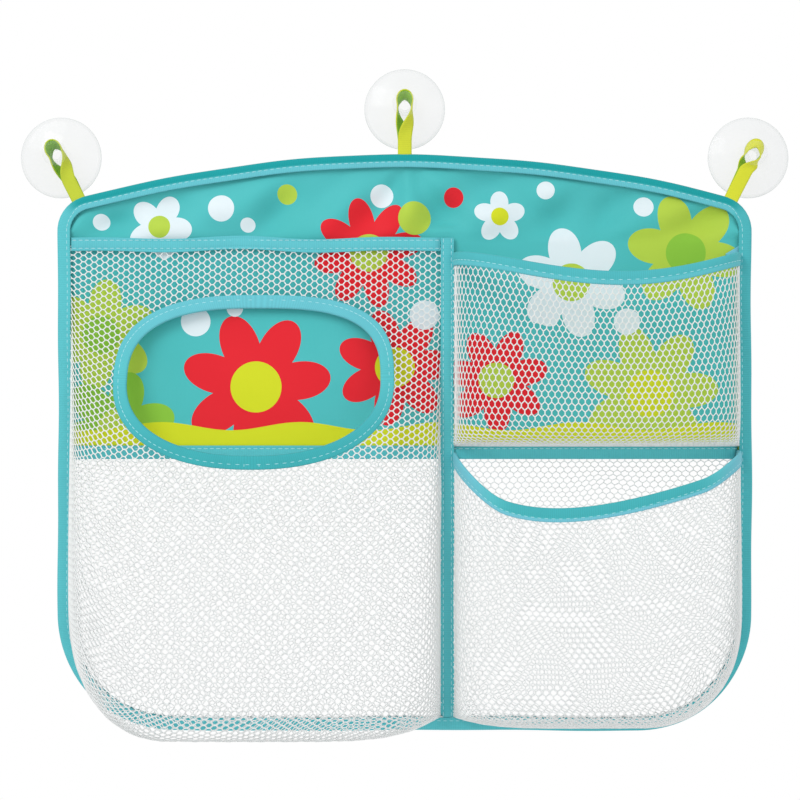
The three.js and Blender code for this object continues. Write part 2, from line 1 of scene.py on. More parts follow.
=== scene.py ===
# Looks of a hanging bath toy organizer: printed cloth, knitted net, woven tape and clear suction cups.
# Metres, +Z up, the front faces -Y and the wall is the plane Y = 0.
from collections import namedtuple
from math import atan2, copysign, cos, exp, hypot, log, pi, radians, sin, sqrt, tau

import bmesh
import bpy
import numpy as np
from mathutils import Matrix, Vector

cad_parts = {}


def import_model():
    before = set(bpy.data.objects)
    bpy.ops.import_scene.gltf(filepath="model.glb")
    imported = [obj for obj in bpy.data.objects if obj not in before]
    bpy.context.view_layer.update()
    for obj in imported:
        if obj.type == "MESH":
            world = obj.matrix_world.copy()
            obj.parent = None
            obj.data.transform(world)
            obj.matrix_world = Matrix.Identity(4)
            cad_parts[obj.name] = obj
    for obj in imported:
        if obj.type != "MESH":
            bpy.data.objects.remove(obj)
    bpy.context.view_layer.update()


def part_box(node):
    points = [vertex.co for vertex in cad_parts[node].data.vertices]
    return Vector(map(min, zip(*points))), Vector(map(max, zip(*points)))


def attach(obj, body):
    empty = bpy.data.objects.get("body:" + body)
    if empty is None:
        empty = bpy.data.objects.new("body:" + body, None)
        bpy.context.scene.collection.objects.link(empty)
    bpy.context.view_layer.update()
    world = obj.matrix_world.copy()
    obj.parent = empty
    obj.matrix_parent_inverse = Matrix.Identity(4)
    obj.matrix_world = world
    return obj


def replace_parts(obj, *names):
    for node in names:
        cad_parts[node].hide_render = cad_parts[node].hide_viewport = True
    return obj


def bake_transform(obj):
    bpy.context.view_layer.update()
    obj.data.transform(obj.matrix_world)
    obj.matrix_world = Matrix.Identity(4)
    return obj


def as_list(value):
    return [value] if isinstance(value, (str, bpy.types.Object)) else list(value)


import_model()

# Photograph: its frame is 800 pixels square, and one pixel is this long on the wall
PHOTO_PIXELS = 800
PIXEL_SIZE = 0.00062
CAMERA_DISTANCE = 0.95
CAMERA_X = -0.0029
CAMERA_Z = -0.180
SENSOR_WIDTH = 36

# Places read from the frame
rim_low, rim_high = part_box("edge_binding")
waist_low, waist_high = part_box("waist_tape")
divider_low, divider_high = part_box("divider_tape")
top_tape_low, top_tape_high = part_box("left_pocket_top_tape")
cup_low, cup_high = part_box("centre_suction_cup")
oval_low, oval_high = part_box("oval_mouth_binding")

HALF_WIDTH = rim_high.x
PEAK = rim_high.z
FOOT = rim_low.z
RIM_MIDDLE = (rim_low.y + rim_high.y) / 2
TAPE_WIDTH = waist_high.z - waist_low.z
TAPE_THICKNESS = waist_high.y - waist_low.y
CLEARANCE = 0.0003
CLOTH_THICKNESS = 0.0005
NET_THICKNESS = 0.0008
CLOTH_FRONT = waist_high.y + CLEARANCE
NET_FRONT = divider_high.y + CLEARANCE
TAPE_FRONT = divider_low.y
WAIST = (waist_low.z + waist_high.z) / 2
DIVIDER = (divider_low.x + divider_high.x) / 2

# Panel outline
BOW_RISE = 0.030
TOP_CORNER_RADIUS = 0.022
BOTTOM_CORNER_RADIUS = 0.070
BOW_RADIUS = (HALF_WIDTH ** 2 + BOW_RISE ** 2) / (2 * BOW_RISE)
BOW_CENTRE = PEAK - BOW_RADIUS
BOUND_INSET = TAPE_WIDTH + CLEARANCE
CLOTH_INSET = TAPE_THICKNESS + CLEARANCE

# Pockets
SIDE_SQUARENESS = 5
BELLY_SQUARENESS = 2.6
DROOP_START = 0.18
MOUTH_END_RUN = 0.030
OVAL_SQUARENESS = {(1, 1): 3.0, (-1, 1): 2.6, (-1, -1): 2.25, (1, -1): 2.25}
SEAM_LAP = 0.0025

# Net cells: their count along a row, the rows, and how far their corners zigzag as a share of a row.
# The big pocket's net lies on its side, so its rows stand upright.
LEFT_CELLS = (79, 95)
UPPER_CELLS = (58, 38)
LOWER_CELLS = (60, 58)
DRAIN_CELLS = (90, 56)
ZIGZAG = 0.24
NET_HEM = 0.003
DRAIN_INSET = 0.003

# Gathers at a pocket's seams: their count and wander, and the shares of the net's height and width in which
# they start and die out
PLEATS = 17
PLEAT_WANDER = 1.3
PLEAT_START = 0.03
PLEAT_RISE = 0.10
PLEAT_REACH = 0.08

# Waves of the drain net, forwards, sideways and upwards: each one's depth and its two runs
DRAIN_SWAYS = ((0.0006, 0.023, 0.031),)
DRAIN_PULLS = ((0.0014, 0.014, 0.040), (0.0008, 0.0061, -0.019))
DRAIN_STRETCHES = ((0.0012, 0.017, -0.035), (0.0007, 0.0073, 0.015))

# Folds of the printed cloth's top strip: depths, and how far they run before they repeat or die out
CREASE_DEPTH = 0.0020
CREASE_REACH = 0.016
SWELL_DEPTH = 0.0012
RAY_DEPTH = 0.0022
RAY_COUNT = 9
RAY_REACH = 0.09
RAY_ROOT = 0.004
SLANT_PATCH = 0.031
BROAD_BEND = 0.038
FINE_PATCH = 0.027

# Tapes: how they wander, how far a folded or a flat tape swells, and how deep and wide its seam pulls it in
RIM_SWAYS = ((0.0003, 7, 0.6), (0.00018, 19, 2.0))
FOLDED_SWELL = 0.00028
FOLDED_PULL = 0.00034
FOLDED_PULL_WIDTH = 0.0007
FLAT_PART = 0.9
FLAT_SWELL = 0.00022
FLAT_PULL = 0.0003
FLAT_PULL_WIDTH = 0.0006
MOUTH_WANDER = 0.0004

# Tones of the rim's tape, from pale 0 to deep 1, and how far one of a tape's tones takes to turn into
# another
# Beyond its seam the top run is painted deep teal, as painted shade
TOP_TONE = 0.35
SIDE_TONE = 0.5
RIGHT_TONE = 0.64
TONE_STEP = 0.0008

# Stitching
STITCH_LENGTH = 0.0029
STITCH_PITCH = 0.0038
STITCH_WIDTH = 0.0006
STITCH_HEIGHT = 0.0004

# Hanging loops and suction cups
LOOP_LENGTH = cup_high.z - cup_high.x - PEAK
LOOP_TAPE_WIDTH = 0.0084
LOOP_TAPE_THICKNESS = 0.0008
LOOP_LEAN = radians(26)
NECK_RADIUS = 0.0035
LOOP_HALF_GAP = 0.0002
LOOP_SUNK = 0.003
LOOP_CURL = 0.0002
# Each loop's hand, where its twist starts, the tilt of its top and its tone from pale 0 to deep 1
LOOPS = {
    "left": (-1, 0.35, radians(36), 0.8),
    "centre": (0, 0.25, radians(36), 0.4),
    "right": (1, 0.60, radians(-50), 0.0),
}
CUP_RADIUS = cup_high.x
CUP_HEIGHT = 0.008
SUCTION_DEPTH = 0.0035
LIP_WIDTH = 0.0025
RIM_THICKNESS = 0.0008
HEAD_RADIUS = 0.0075
HEAD_HEIGHT = 0.0045
HEAD_CHAMFER = 0.0011
HEAD_ROUND = 0.0022
HOLLOW_STEPS = 8
CUP_STEPS = 10
CUP_SLOPE = 1.6
SHARP_ANGLE = radians(28)
# How much grey covers the clear PVC: a faint haze on the knob and the body, and painted shade along the rim
KNOB_HAZE = 0.35
BODY_HAZE = 1.3
EDGE_PAINTED_SHADE = 2.4
EDGE_WIDTH = 0.001


def clamp(value):
    return max(0.0, min(1.0, value))


def mix(a, b, share):
    return a + (b - a) * share


def smoothstep(value, low, high):
    share = clamp((value - low) / (high - low))
    return share * share * (3 - 2 * share)


# Panel outline, set in from its outer edge

Arcs = namedtuple("Arcs", "half top bottom top_x top_z bottom_x bottom_z")


def outline_arcs(inset):
    """The outline's half width, the radii of its corners, and the middles of the right ones."""
    half = HALF_WIDTH - inset
    top = TOP_CORNER_RADIUS - inset
    bottom = BOTTOM_CORNER_RADIUS - inset
    top_x = half - top
    top_z = BOW_CENTRE + sqrt((BOW_RADIUS - inset - top) ** 2 - top_x ** 2)
    return Arcs(half, top, bottom, top_x, top_z, half - bottom, FOOT + inset + bottom)


def arc_height(radius, over):
    return sqrt(max(radius ** 2 - max(over, 0) ** 2, 0))


def outline_bottom(x, inset):
    arcs = outline_arcs(inset)
    return arcs.bottom_z - arc_height(arcs.bottom, abs(x) - arcs.bottom_x)


def outline_top(x, inset):
    arcs = outline_arcs(inset)
    bow = BOW_RADIUS - inset
    if abs(x) <= arcs.top_x * bow / (bow - arcs.top):
        return BOW_CENTRE + arc_height(bow, abs(x))
    return arcs.top_z + arc_height(arcs.top, abs(x) - arcs.top_x)


# A stretch of the rim is its length, and a function that gives a place on it as (x, z) with the direction
# from there into the panel

def line(start, end):
    start, end = Vector(start), Vector(end)
    along = (end - start).normalized()
    return (end - start).length, lambda share: (start.lerp(end, share), Vector((-along.y, along.x)))


def arc(centre, radius, first, last):
    def place(share):
        angle = mix(first, last, share)
        out = Vector((cos(angle), sin(angle)))
        return Vector(centre) + radius * out, -out

    return radius * abs(last - first), place


def rim_stretches():
    """The rim's stretches from the middle of the foot, anticlockwise from the front."""
    half, top, bottom, top_x, top_z, bottom_x, bottom_z = outline_arcs(0)
    meet = atan2(top_z - BOW_CENTRE, top_x)
    quarter = pi / 2
    return [
        line((0, FOOT), (bottom_x, FOOT)),
        arc((bottom_x, bottom_z), bottom, -quarter, 0),
        line((half, bottom_z), (half, top_z)),
        arc((top_x, top_z), top, 0, meet),
        arc((0, BOW_CENTRE), BOW_RADIUS, meet, pi - meet),
        arc((-top_x, top_z), top, pi - meet, pi),
        line((-half, top_z), (-half, bottom_z)),
        arc((-bottom_x, bottom_z), bottom, pi, 3 * quarter),
        line((-bottom_x, FOOT), (0, FOOT)),
    ]


RIM = rim_stretches()
RIM_LENGTH = sum(length for length, place in RIM)


def rim_place(share):
    """A point of the rim as (x, z) and the direction from it into the panel."""
    walked = (share % 1.0) * RIM_LENGTH
    for length, place in RIM:
        if walked <= length:
            break
        walked -= length
    return place(clamp(walked / length))


def rim_wobble(share):
    """How far hand-guided tape wanders off the true outline."""
    turn = tau * share
    return sum(depth * sin(count * turn + start) for depth, count, start in RIM_SWAYS)


# Pocket surfaces

class Pocket:
    """A net sewn flat at its edges that bulges forwards between them and sags below its belly."""

    def __init__(self, node, start, end, low, high, belly, fullness, droop):
        self.start, self.end = start, end
        self.low, self.high = low, high
        self.depth = NET_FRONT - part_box(node)[0].y
        self.belly, self.fullness, self.droop = belly, fullness, droop

    def side(self, x):
        across = clamp((x - self.start) / (self.end - self.start))
        return sqrt(1 - abs(2 * across - 1) ** SIDE_SQUARENESS)

    def lift(self, up):
        short = 1 - clamp(up / self.belly)
        return (1 - short ** BELLY_SQUARENESS) ** (1 / BELLY_SQUARENESS)

    def point(self, x, up):
        lift = self.lift(up)
        side = self.side(x)
        full = mix(1, self.fullness, smoothstep(up, self.belly, 1))
        hanging = clamp((lift - DROOP_START) / (1 - DROOP_START))
        sag = self.droop * side ** 2 * sin(pi * hanging)
        height = mix(self.low(x), self.high(x), up) - sag
        return Vector((x, NET_FRONT - self.depth * side * lift * full, height))

    def front(self, x, z):
        return self.point(x, clamp((z - self.low(x)) / (self.high(x) - self.low(x)))).y


def sagging_mouth(height, sag, place, end_rise):
    """An open mouth's height over x: it sags most at a place of its length, and its ends are sewn higher."""
    start = DIVIDER + TAPE_WIDTH / 2
    end = HALF_WIDTH - TAPE_WIDTH
    skew = log(0.5) / log(place)

    def mouth(x):
        hang = sag * sin(pi * clamp((x - start) / (end - start)) ** skew)
        return height - hang + end_rise * (1 - smoothstep(min(x - start, end - x), 0, MOUTH_END_RUN))

    return mouth


upper_mouth = sagging_mouth(height=PEAK - 0.060, sag=0.014, place=0.55, end_rise=0)
lower_mouth = sagging_mouth(height=waist_low.z - CLEARANCE, sag=0.027, place=0.34, end_rise=0.006)
UNDER_MOUTH = TAPE_WIDTH + CLEARANCE + SEAM_LAP
RIGHT_START = DIVIDER + TAPE_WIDTH / 2 + CLEARANCE
RIGHT_END = HALF_WIDTH - BOUND_INSET

left_pocket = Pocket(
    "left_pocket_net", -RIGHT_END, DIVIDER - TAPE_WIDTH / 2 - CLEARANCE,
    lambda x: outline_bottom(x, BOUND_INSET), lambda x: top_tape_low.z - CLEARANCE,
    belly=0.16, fullness=0, droop=0.012,
)
upper_pocket = Pocket(
    "upper_pocket_net", RIGHT_START, RIGHT_END,
    lambda x: waist_high.z, lambda x: upper_mouth(x) - UNDER_MOUTH,
    belly=0.25, fullness=0.75, droop=0,
)
lower_pocket = Pocket(
    "lower_pocket_net", RIGHT_START, RIGHT_END,
    lambda x: outline_bottom(x, BOUND_INSET), lambda x: lower_mouth(x) - UNDER_MOUTH,
    belly=0.25, fullness=0.8, droop=0.003,
)

OVAL_CENTRE = ((oval_low + oval_high) / 2).xz
OVAL_HALF = ((oval_high - oval_low) / 2).xz


def oval_squareness(right, up):
    return OVAL_SQUARENESS[(1 if right >= 0 else -1, 1 if up >= 0 else -1)]


def oval_place(share, inset):
    across = cos(tau * share)
    above = sin(tau * share)
    bend = 2 / oval_squareness(across, above)
    right = copysign(abs(across) ** bend, across)
    up = copysign(abs(above) ** bend, above)
    return OVAL_CENTRE + Vector(((OVAL_HALF.x - inset) * right, (OVAL_HALF.y - inset) * up))


def inside_oval(x, z, inset):
    right = (x - OVAL_CENTRE.x) / (OVAL_HALF.x - inset)
    up = (z - OVAL_CENTRE.y) / (OVAL_HALF.y - inset)
    squareness = oval_squareness(right, up)
    return abs(right) ** squareness + abs(up) ** squareness < 1


# Materials

def linear(code):
    """Linear red, green, blue and alpha from an sRGB hex code."""
    values = [int(code[k:k + 2], 16) / 255 for k in (1, 3, 5)]
    return [v / 12.92 if v <= 0.04045 else ((v + 0.055) / 1.055) ** 2.4 for v in values] + [1.0]


def fill(node, socket, value):
    """Fills a node's socket with a value, a colour's hex code or another node's output."""
    if isinstance(value, bpy.types.NodeSocket):
        node.id_data.links.new(value, node.inputs[socket])
    else:
        node.inputs[socket].default_value = linear(value) if isinstance(value, str) else value


def add(tree, kind, inputs=(), out=0, **settings):
    """Adds a node with its settings and gives an output of it. Its inputs are listed from the first socket
    on or given by socket."""
    made = tree.nodes.new("ShaderNode" + kind)
    for name, value in settings.items():
        setattr(made, name, value)
    for socket, value in inputs.items() if isinstance(inputs, dict) else enumerate(inputs):
        fill(made, socket, value)
    return made.outputs[out]


def wire(tree, **inputs):
    """Fills the material shader's sockets of these names."""
    for socket, value in inputs.items():
        fill(tree.nodes["Principled BSDF"], socket.replace("_", " "), value)


def surface(name, **constants):
    """A material with the shader's values that are the same all over, its node tree and its place node."""
    material = bpy.data.materials.new(name)
    material.use_nodes = True
    tree = material.node_tree
    wire(tree, **constants)
    return material, tree, add(tree, "TexCoord", out="Object")


# Sockets of a colour mix: its factor and its two colours
FAC, A, B = 0, 6, 7
COLOUR_MIX = {"out": 2, "data_type": "RGBA"}

LIME = "#B8D54A"
GREEN = "#8DC63F"
YELLOW = "#D7DF23"
RED = "#E8222F"
PALE_BLUE = "#E6F3F8"

# Real sizes of the weaves. Yarns of a quarter of a millimetre don't show at this distance, so the weave
# and the ribs are drawn about three times as coarse.
CLOTH_YARN = 0.0008
TAPE_RIB = 0.0011
THREAD_TWIST = 0.0009
SEWING_TWIST = 0.003
# Size of the broad patches of painted fold shade on the cloth's teal ground
FOLD_SHADE_PATCH = 0.06
TAPE_BLOOM = 0.02
PVC_CLOUD = 0.012
REVERSE_FADE = 0.55

# Motifs of the print. A flower is an x and z place, a radius, a count of petals and two colours.
FLOWERS = [
    (-0.091, -0.172, 0.046, 7, RED, YELLOW),
    (-0.186, -0.140, 0.034, 6, LIME, GREEN),
    (-0.150, -0.074, 0.020, 5, PALE_BLUE, LIME),
    (-0.176, -0.198, 0.036, 6, GREEN, LIME),
    (-0.022, -0.090, 0.034, 8, RED, LIME),
    (-0.006, -0.160, 0.036, 7, RED, YELLOW),
    (0.058, -0.068, 0.016, 5, PALE_BLUE, YELLOW),
    (0.102, -0.108, 0.034, 6, PALE_BLUE, LIME),
    (0.056, -0.168, 0.032, 7, RED, LIME),
    (0.172, -0.090, 0.036, 6, LIME, GREEN),
    (0.150, -0.176, 0.042, 7, LIME, YELLOW),
]
# A bubble is an x and z place, a radius and a colour
BUBBLES = [
    (-0.186, -0.071, 0.005, PALE_BLUE),
    (-0.112, -0.063, 0.008, PALE_BLUE),
    (-0.096, -0.073, 0.0045, PALE_BLUE),
    (-0.072, -0.054, 0.006, LIME),
    (-0.014, -0.055, 0.007, PALE_BLUE),
    (0.006, -0.069, 0.010, LIME),
    (0.030, -0.056, 0.006, RED),
    (0.086, -0.052, 0.0055, PALE_BLUE),
    (0.146, -0.062, 0.006, PALE_BLUE),
    (-0.128, -0.132, 0.009, PALE_BLUE),
    (-0.104, -0.124, 0.005, PALE_BLUE),
    (0.012, -0.128, 0.009, PALE_BLUE),
    (0.088, -0.128, 0.007, PALE_BLUE),
    (0.136, -0.132, 0.008, PALE_BLUE),
]
PETAL_NOTCH = 0.42
PETAL_TURN = 40
HEART_SIZE = 0.34
SAND_HEIGHT = WAIST + 0.016
SAND_SWELL = 0.0025
SAND_WAVE = 0.085


def mottled(tree, place, size, first, second, detail=2.0):
    """A colour that drifts between two in patches of about this size, and the patches as a value."""
    patches = add(tree, "TexNoise", {"Vector": place, "Scale": 1 / size, "Detail": detail})
    return add(tree, "Mix", {FAC: patches, A: first, B: second}, **COLOUR_MIX), patches


def printed_ground(tree, place):
    """Print on the cloth: flowers and bubbles over teal, above a yellow strip. The teal is painted darker
    and lighter in broad patches, as shade of soft folds.
    """
    # Broad darker and lighter patches of teal: painted shade of soft folds
    ground = mottled(tree, place, FOLD_SHADE_PATCH, "#46BBBA", "#58C5C8")[0]
    flat = add(tree, "VectorMath", [place, (1, 0, 1)], operation="MULTIPLY")
    for x, z, radius, petals, petal_colour, heart_colour in FLOWERS:
        local = add(tree, "VectorMath", [flat, (x, 0, z)], operation="SUBTRACT")
        parts = add(tree, "SeparateXYZ", [local]).node.outputs
        turn = add(tree, "Math", [parts["Z"], parts["X"]], operation="ARCTAN2")
        half = add(tree, "Math", [turn, petals / 2, PETAL_TURN * x], operation="MULTIPLY_ADD")
        swing = add(tree, "Math", [half], operation="COSINE")
        round_end = add(tree, "Math", [swing], operation="ABSOLUTE")
        reach = [round_end, radius * PETAL_NOTCH, radius * (1 - PETAL_NOTCH)]
        edge = add(tree, "Math", reach, operation="MULTIPLY_ADD")
        away = add(tree, "VectorMath", [local], operation="LENGTH", out="Value")
        flower = add(tree, "Math", [away, edge], operation="LESS_THAN")
        heart = add(tree, "Math", [away, radius * HEART_SIZE], operation="LESS_THAN")
        painted = add(tree, "Mix", {FAC: heart, A: petal_colour, B: heart_colour}, **COLOUR_MIX)
        ground = add(tree, "Mix", {FAC: flower, A: ground, B: painted}, **COLOUR_MIX)
    for x, z, radius, bubble_colour in BUBBLES:
        away = add(tree, "VectorMath", [flat, (x, 0, z)], operation="DISTANCE", out="Value")
        disc = add(tree, "Math", [away, radius], operation="LESS_THAN")
        ground = add(tree, "Mix", {FAC: disc, A: ground, B: bubble_colour}, **COLOUR_MIX)
    parts = add(tree, "SeparateXYZ", [place]).node.outputs
    wave = add(tree, "Math", [parts["X"], tau / SAND_WAVE], operation="MULTIPLY")
    swell = add(tree, "Math", [wave], operation="SINE")
    edge = add(tree, "Math", [swell, SAND_SWELL, SAND_HEIGHT], operation="MULTIPLY_ADD")
    sand = add(tree, "Math", [parts["Z"], edge], operation="LESS_THAN")
    return add(tree, "Mix", {FAC: sand, A: ground, B: YELLOW}, **COLOUR_MIX)


def wave_scale(pitch):
    """The scale at which a wave texture's bands lie this far apart."""
    return pi / (10 * pitch)


def woven_height(tree, place, pitch):
    """Crossing yarns as a height, for bump."""
    scaled = {"Vector": place, "Scale": wave_scale(pitch)}
    warp = add(tree, "TexWave", scaled, bands_direction="X", out="Fac")
    weft = add(tree, "TexWave", scaled, bands_direction="Z", out="Fac")
    return add(tree, "Math", [warp, weft], operation="MULTIPLY")


def printed_polyester(reverse):
    """Printed plain-weave polyester: flat bright ink, fine weave and a soft sheen. Its reverse is paler."""
    name = "printed_polyester_reverse" if reverse else "printed_polyester"
    material, tree, place = surface(name, Roughness=0.62, Specular_IOR_Level=0.2, Sheen_Weight=0.06)
    ink = printed_ground(tree, place)
    if reverse:
        ink = add(tree, "Mix", {FAC: REVERSE_FADE, A: ink, B: "#EAF6F6"}, **COLOUR_MIX)
    weave = woven_height(tree, place, CLOTH_YARN)
    bump = add(tree, "Bump", {"Height": weave, "Strength": 0.12, "Distance": 0.0002})
    wire(tree, Base_Color=ink, Normal=bump)
    return material


def woven_tape(name, pale, main, deep):
    """Woven polyester binding: fine cross ribs with painted shade in their grooves, a faint bloom, and a
    tone that varies along its run, set by dye and in places by painted shade.
    """
    material, tree, place = surface(
        name, Roughness=0.7, Specular_IOR_Level=0.2, Sheen_Weight=0.1, Sheen_Roughness=0.4)
    flat = add(tree, "TexCoord", out="UV")
    # Tone from pale 0 to deep 1: the tape's dye, and in places painted shade
    dye_and_shade = add(tree, "Attribute", attribute_name="dye_and_shade", out="Fac")
    first = add(tree, "MapRange", {"Value": dye_and_shade, "From Max": 0.5})
    second = add(tree, "MapRange", {"Value": dye_and_shade, "From Min": 0.5})
    lighter = add(tree, "Mix", {FAC: first, A: pale, B: main}, **COLOUR_MIX)
    colour = add(tree, "Mix", {FAC: second, A: lighter, B: deep}, **COLOUR_MIX)
    wave = {"Vector": flat, "Scale": wave_scale(TAPE_RIB), "Distortion": 0.4, "Detail": 1.0}
    ribs = add(tree, "TexWave", wave, bands_direction="X", out="Fac")
    bloom = add(tree, "TexNoise", {"Vector": place, "Scale": 1 / TAPE_BLOOM, "Detail": 3.0})
    worn = add(tree, "MapRange", {"Value": bloom, "To Min": 0.94, "To Max": 1.06})
    # The ribs' grooves are painted darker: painted shade, along with the ribs' bump
    groove_shade = add(tree, "MapRange", {"Value": ribs, "To Min": 0.94, "To Max": 1.03})
    shade = add(tree, "Math", [worn, groove_shade], operation="MULTIPLY")
    ribbed = add(tree, "VectorMath", {0: colour, 3: shade}, operation="SCALE")
    bump = add(tree, "Bump", {"Height": ribs, "Strength": 0.25, "Distance": 0.00025})
    wire(tree, Base_Color=ribbed, Normal=bump)
    return material


def knitted_net():
    """Knitted polyester net: bright white yarn with a little grey in its twist."""
    material, tree, place = surface("knitted_polyester_net", Roughness=0.6, Sheen_Weight=0.1)
    yarn, twist = mottled(tree, place, THREAD_TWIST, "#EEF2F2", "#FDFEFE", detail=1.0)
    bump = add(tree, "Bump", {"Height": twist, "Strength": 0.3, "Distance": 0.0002})
    wire(tree, Base_Color=yarn, Normal=bump)
    return material


def sewing_thread():
    """Twisted polyester sewing thread: pale teal with a silky glint."""
    material, tree, place = surface("sewing_thread", Roughness=0.45, Sheen_Weight=0.2)
    dyed = mottled(tree, place, SEWING_TWIST, "#8ED6DF", "#B5E6EC", detail=1.0)[0]
    wire(tree, Base_Color=dyed)
    return material


def clear_pvc():
    """Clear moulded PVC: almost invisible face on, with a wet gloss. Where it turns away and along its rim
    it is painted greyer, as shade of the dome and its rim.
    """
    material, tree, place = surface("clear_moulded_pvc", Roughness=0.12, IOR=1.53)
    tint = mottled(tree, place, PVC_CLOUD, "#D4D9DA", "#E6EAEA")[0]
    # Greyer where the surface turns away: painted shade of the dome
    turned = add(tree, "LayerWeight", {"Blend": 0.28}, out="Facing")
    grazing = add(tree, "MapRange", {"Value": turned, "To Min": 0.10, "To Max": 0.50})
    haze_and_rim_shade = add(tree, "Attribute", out="Fac", attribute_name="haze_and_rim_shade")
    cover = add(tree, "Math", [grazing, haze_and_rim_shade], operation="MULTIPLY", use_clamp=True)
    wire(tree, Base_Color=tint, Alpha=cover)
    return material


PRINTED_CLOTH = printed_polyester(False)
CLOTH_REVERSE = printed_polyester(True)
TEAL_TAPE = woven_tape("teal_woven_tape", "#7BC9DD", "#5CC4CC", "#14A0A4")
LIME_TAPE = woven_tape("lime_woven_tape", "#DFE338", "#D2DA3B", "#BFD040")
# The loop tape's inner face: the same lime tape painted greener and darker, as painted shade inside the loop
LIME_SHADED_INSIDE = woven_tape("lime_woven_tape_shaded_inside", "#A2CE3A", "#96C83B", "#86BE3C")
WHITE_NET = knitted_net()
THREAD_TEAL = sewing_thread()
CLEAR_PVC = clear_pvc()


# Making pieces

def new_object(name, data):
    made = bpy.data.objects.new(name, data)
    bpy.context.scene.collection.objects.link(made)
    return made


def new_piece(name, bm, materials):
    for face in bm.faces:
        face.smooth = True
    mesh = bpy.data.meshes.new(name)
    bm.to_mesh(mesh)
    bm.free()
    for material in materials:
        mesh.materials.append(material)
    return new_object(name, mesh)


def forward_sheet(name, bm, materials):
    """A sheet whose faces are turned towards the front, -Y."""
    bmesh.ops.recalc_face_normals(bm, faces=bm.faces)
    piece = new_piece(name, bm, materials)
    if sum(polygon.normal.y * polygon.area for polygon in piece.data.polygons) > 0:
        piece.data.flip_normals()
    return piece


def laid_grid(cells, place, length, width, ring=False, dye_and_shade=0.5):
    """A flat grid carried to place(u, v), with its UV map in metres and its tone from pale 0 to deep 1, set
    by dye and in places by painted shade, which is one value or a function of u and v."""
    bm = bmesh.new()
    flat = bm.loops.layers.uv.new("UVMap")
    shade = bm.verts.layers.float.new("dye_and_shade")
    bmesh.ops.create_grid(bm, x_segments=cells[0], y_segments=cells[1], size=0.5)
    for face in bm.faces:
        for loop in face.loops:
            spot = loop.vert.co
            loop[flat].uv = ((spot.x + 0.5) * length, (spot.y + 0.5) * width)
    for vert in bm.verts:
        u, v = vert.co.x + 0.5, vert.co.y + 0.5
        vert[shade] = dye_and_shade(u, v) if callable(dye_and_shade) else dye_and_shade
        vert.co = place(u, v)
    if ring:
        bmesh.ops.remove_doubles(bm, verts=bm.verts, dist=1e-6)
    return bm


def thicken(piece, thickness, offset=0.0, reverse=0):
    solid = piece.modifiers.new("thickness", "SOLIDIFY")
    solid.thickness = thickness
    solid.offset = offset
    solid.use_even_offset = True
    solid.material_offset = reverse
    return piece


def sewn(piece, slot, *nodes):
    """The piece belongs to the panel and stands for these nodes."""
    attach(piece, "panel")
    if nodes:
        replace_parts(piece, *nodes)
    return piece


# Printed cloth

def ripple(x, z, depth, slope, run, start=0.0):
    """A wave over the cloth, with its crests along the lines where x + slope * z stays the same."""
    return depth * sin((x + slope * z) / run + start)


def cloth_fold(x, z):
    """How far the printed cloth stands forward: folds in its top strip, and a little slack below."""
    seam = top_tape_high.z
    if z > seam:
        share = clamp((z - seam) / (outline_top(x, BOUND_INSET) - seam))
        crease = CREASE_DEPTH * max(1 - abs(x) / CREASE_REACH, 0)
        swell = SWELL_DEPTH * sin(4 * pi * min(abs(x) / (HALF_WIDTH - BOUND_INSET), 1)) ** 2
        bearing = atan2(x, PEAK - z + RAY_ROOT)
        rays = RAY_DEPTH * sin(RAY_COUNT * bearing + 0.8) * exp(-abs(x) / RAY_REACH)
        slant = ripple(x, z, depth=0.0016, slope=1.4, run=0.0085) * (0.5 + 0.5 * sin(x / SLANT_PATCH))
        bend = 1.5 * sin(x / BROAD_BEND + 0.4)
        broad = ripple(x, z, depth=0.0034, slope=-1.1, run=0.0105, start=bend)
        fine = ripple(x, z, depth=0.0012, slope=-0.6, run=0.0047, start=1.0)
        fine *= 0.5 - 0.5 * sin(x / FINE_PATCH + 0.7)
        clear = smoothstep(abs(x - DIVIDER), 0.005, 0.02) if z < divider_high.z + TAPE_WIDTH else 1
        folds = crease - swell + rays + slant + broad + fine
        return clear * sin(pi * share) ** 0.7 * folds
    share = clamp((z - waist_high.z) / (seam - TAPE_WIDTH - waist_high.z))
    edge = smoothstep(HALF_WIDTH - abs(x), BOUND_INSET, 0.05) * smoothstep(abs(x - DIVIDER), 0.004, 0.03)
    slack = ripple(x, z, 0.0007, slope=-0.6, run=0.021) + ripple(x, z, 0.00042, slope=1.7, run=0.013)
    return sin(pi * share) * edge * slack


def printed_cloth():
    half = HALF_WIDTH - CLOTH_INSET
    bottom = WAIST + CLEARANCE / 2

    def place(u, v):
        x = mix(-half, half, u)
        z = mix(bottom, outline_top(x, CLOTH_INSET), v)
        return Vector((x, CLOTH_FRONT - cloth_fold(x, z), z))

    bm = laid_grid((150, 66), place, length=2 * half, width=PEAK - bottom)
    piece = forward_sheet("printed_cloth", bm, [PRINTED_CLOTH, CLOTH_REVERSE])
    thicken(piece, CLOTH_THICKNESS, offset=-1.0, reverse=1)
    return sewn(piece, "printed_cloth", "printed_back_panel")


# Nets

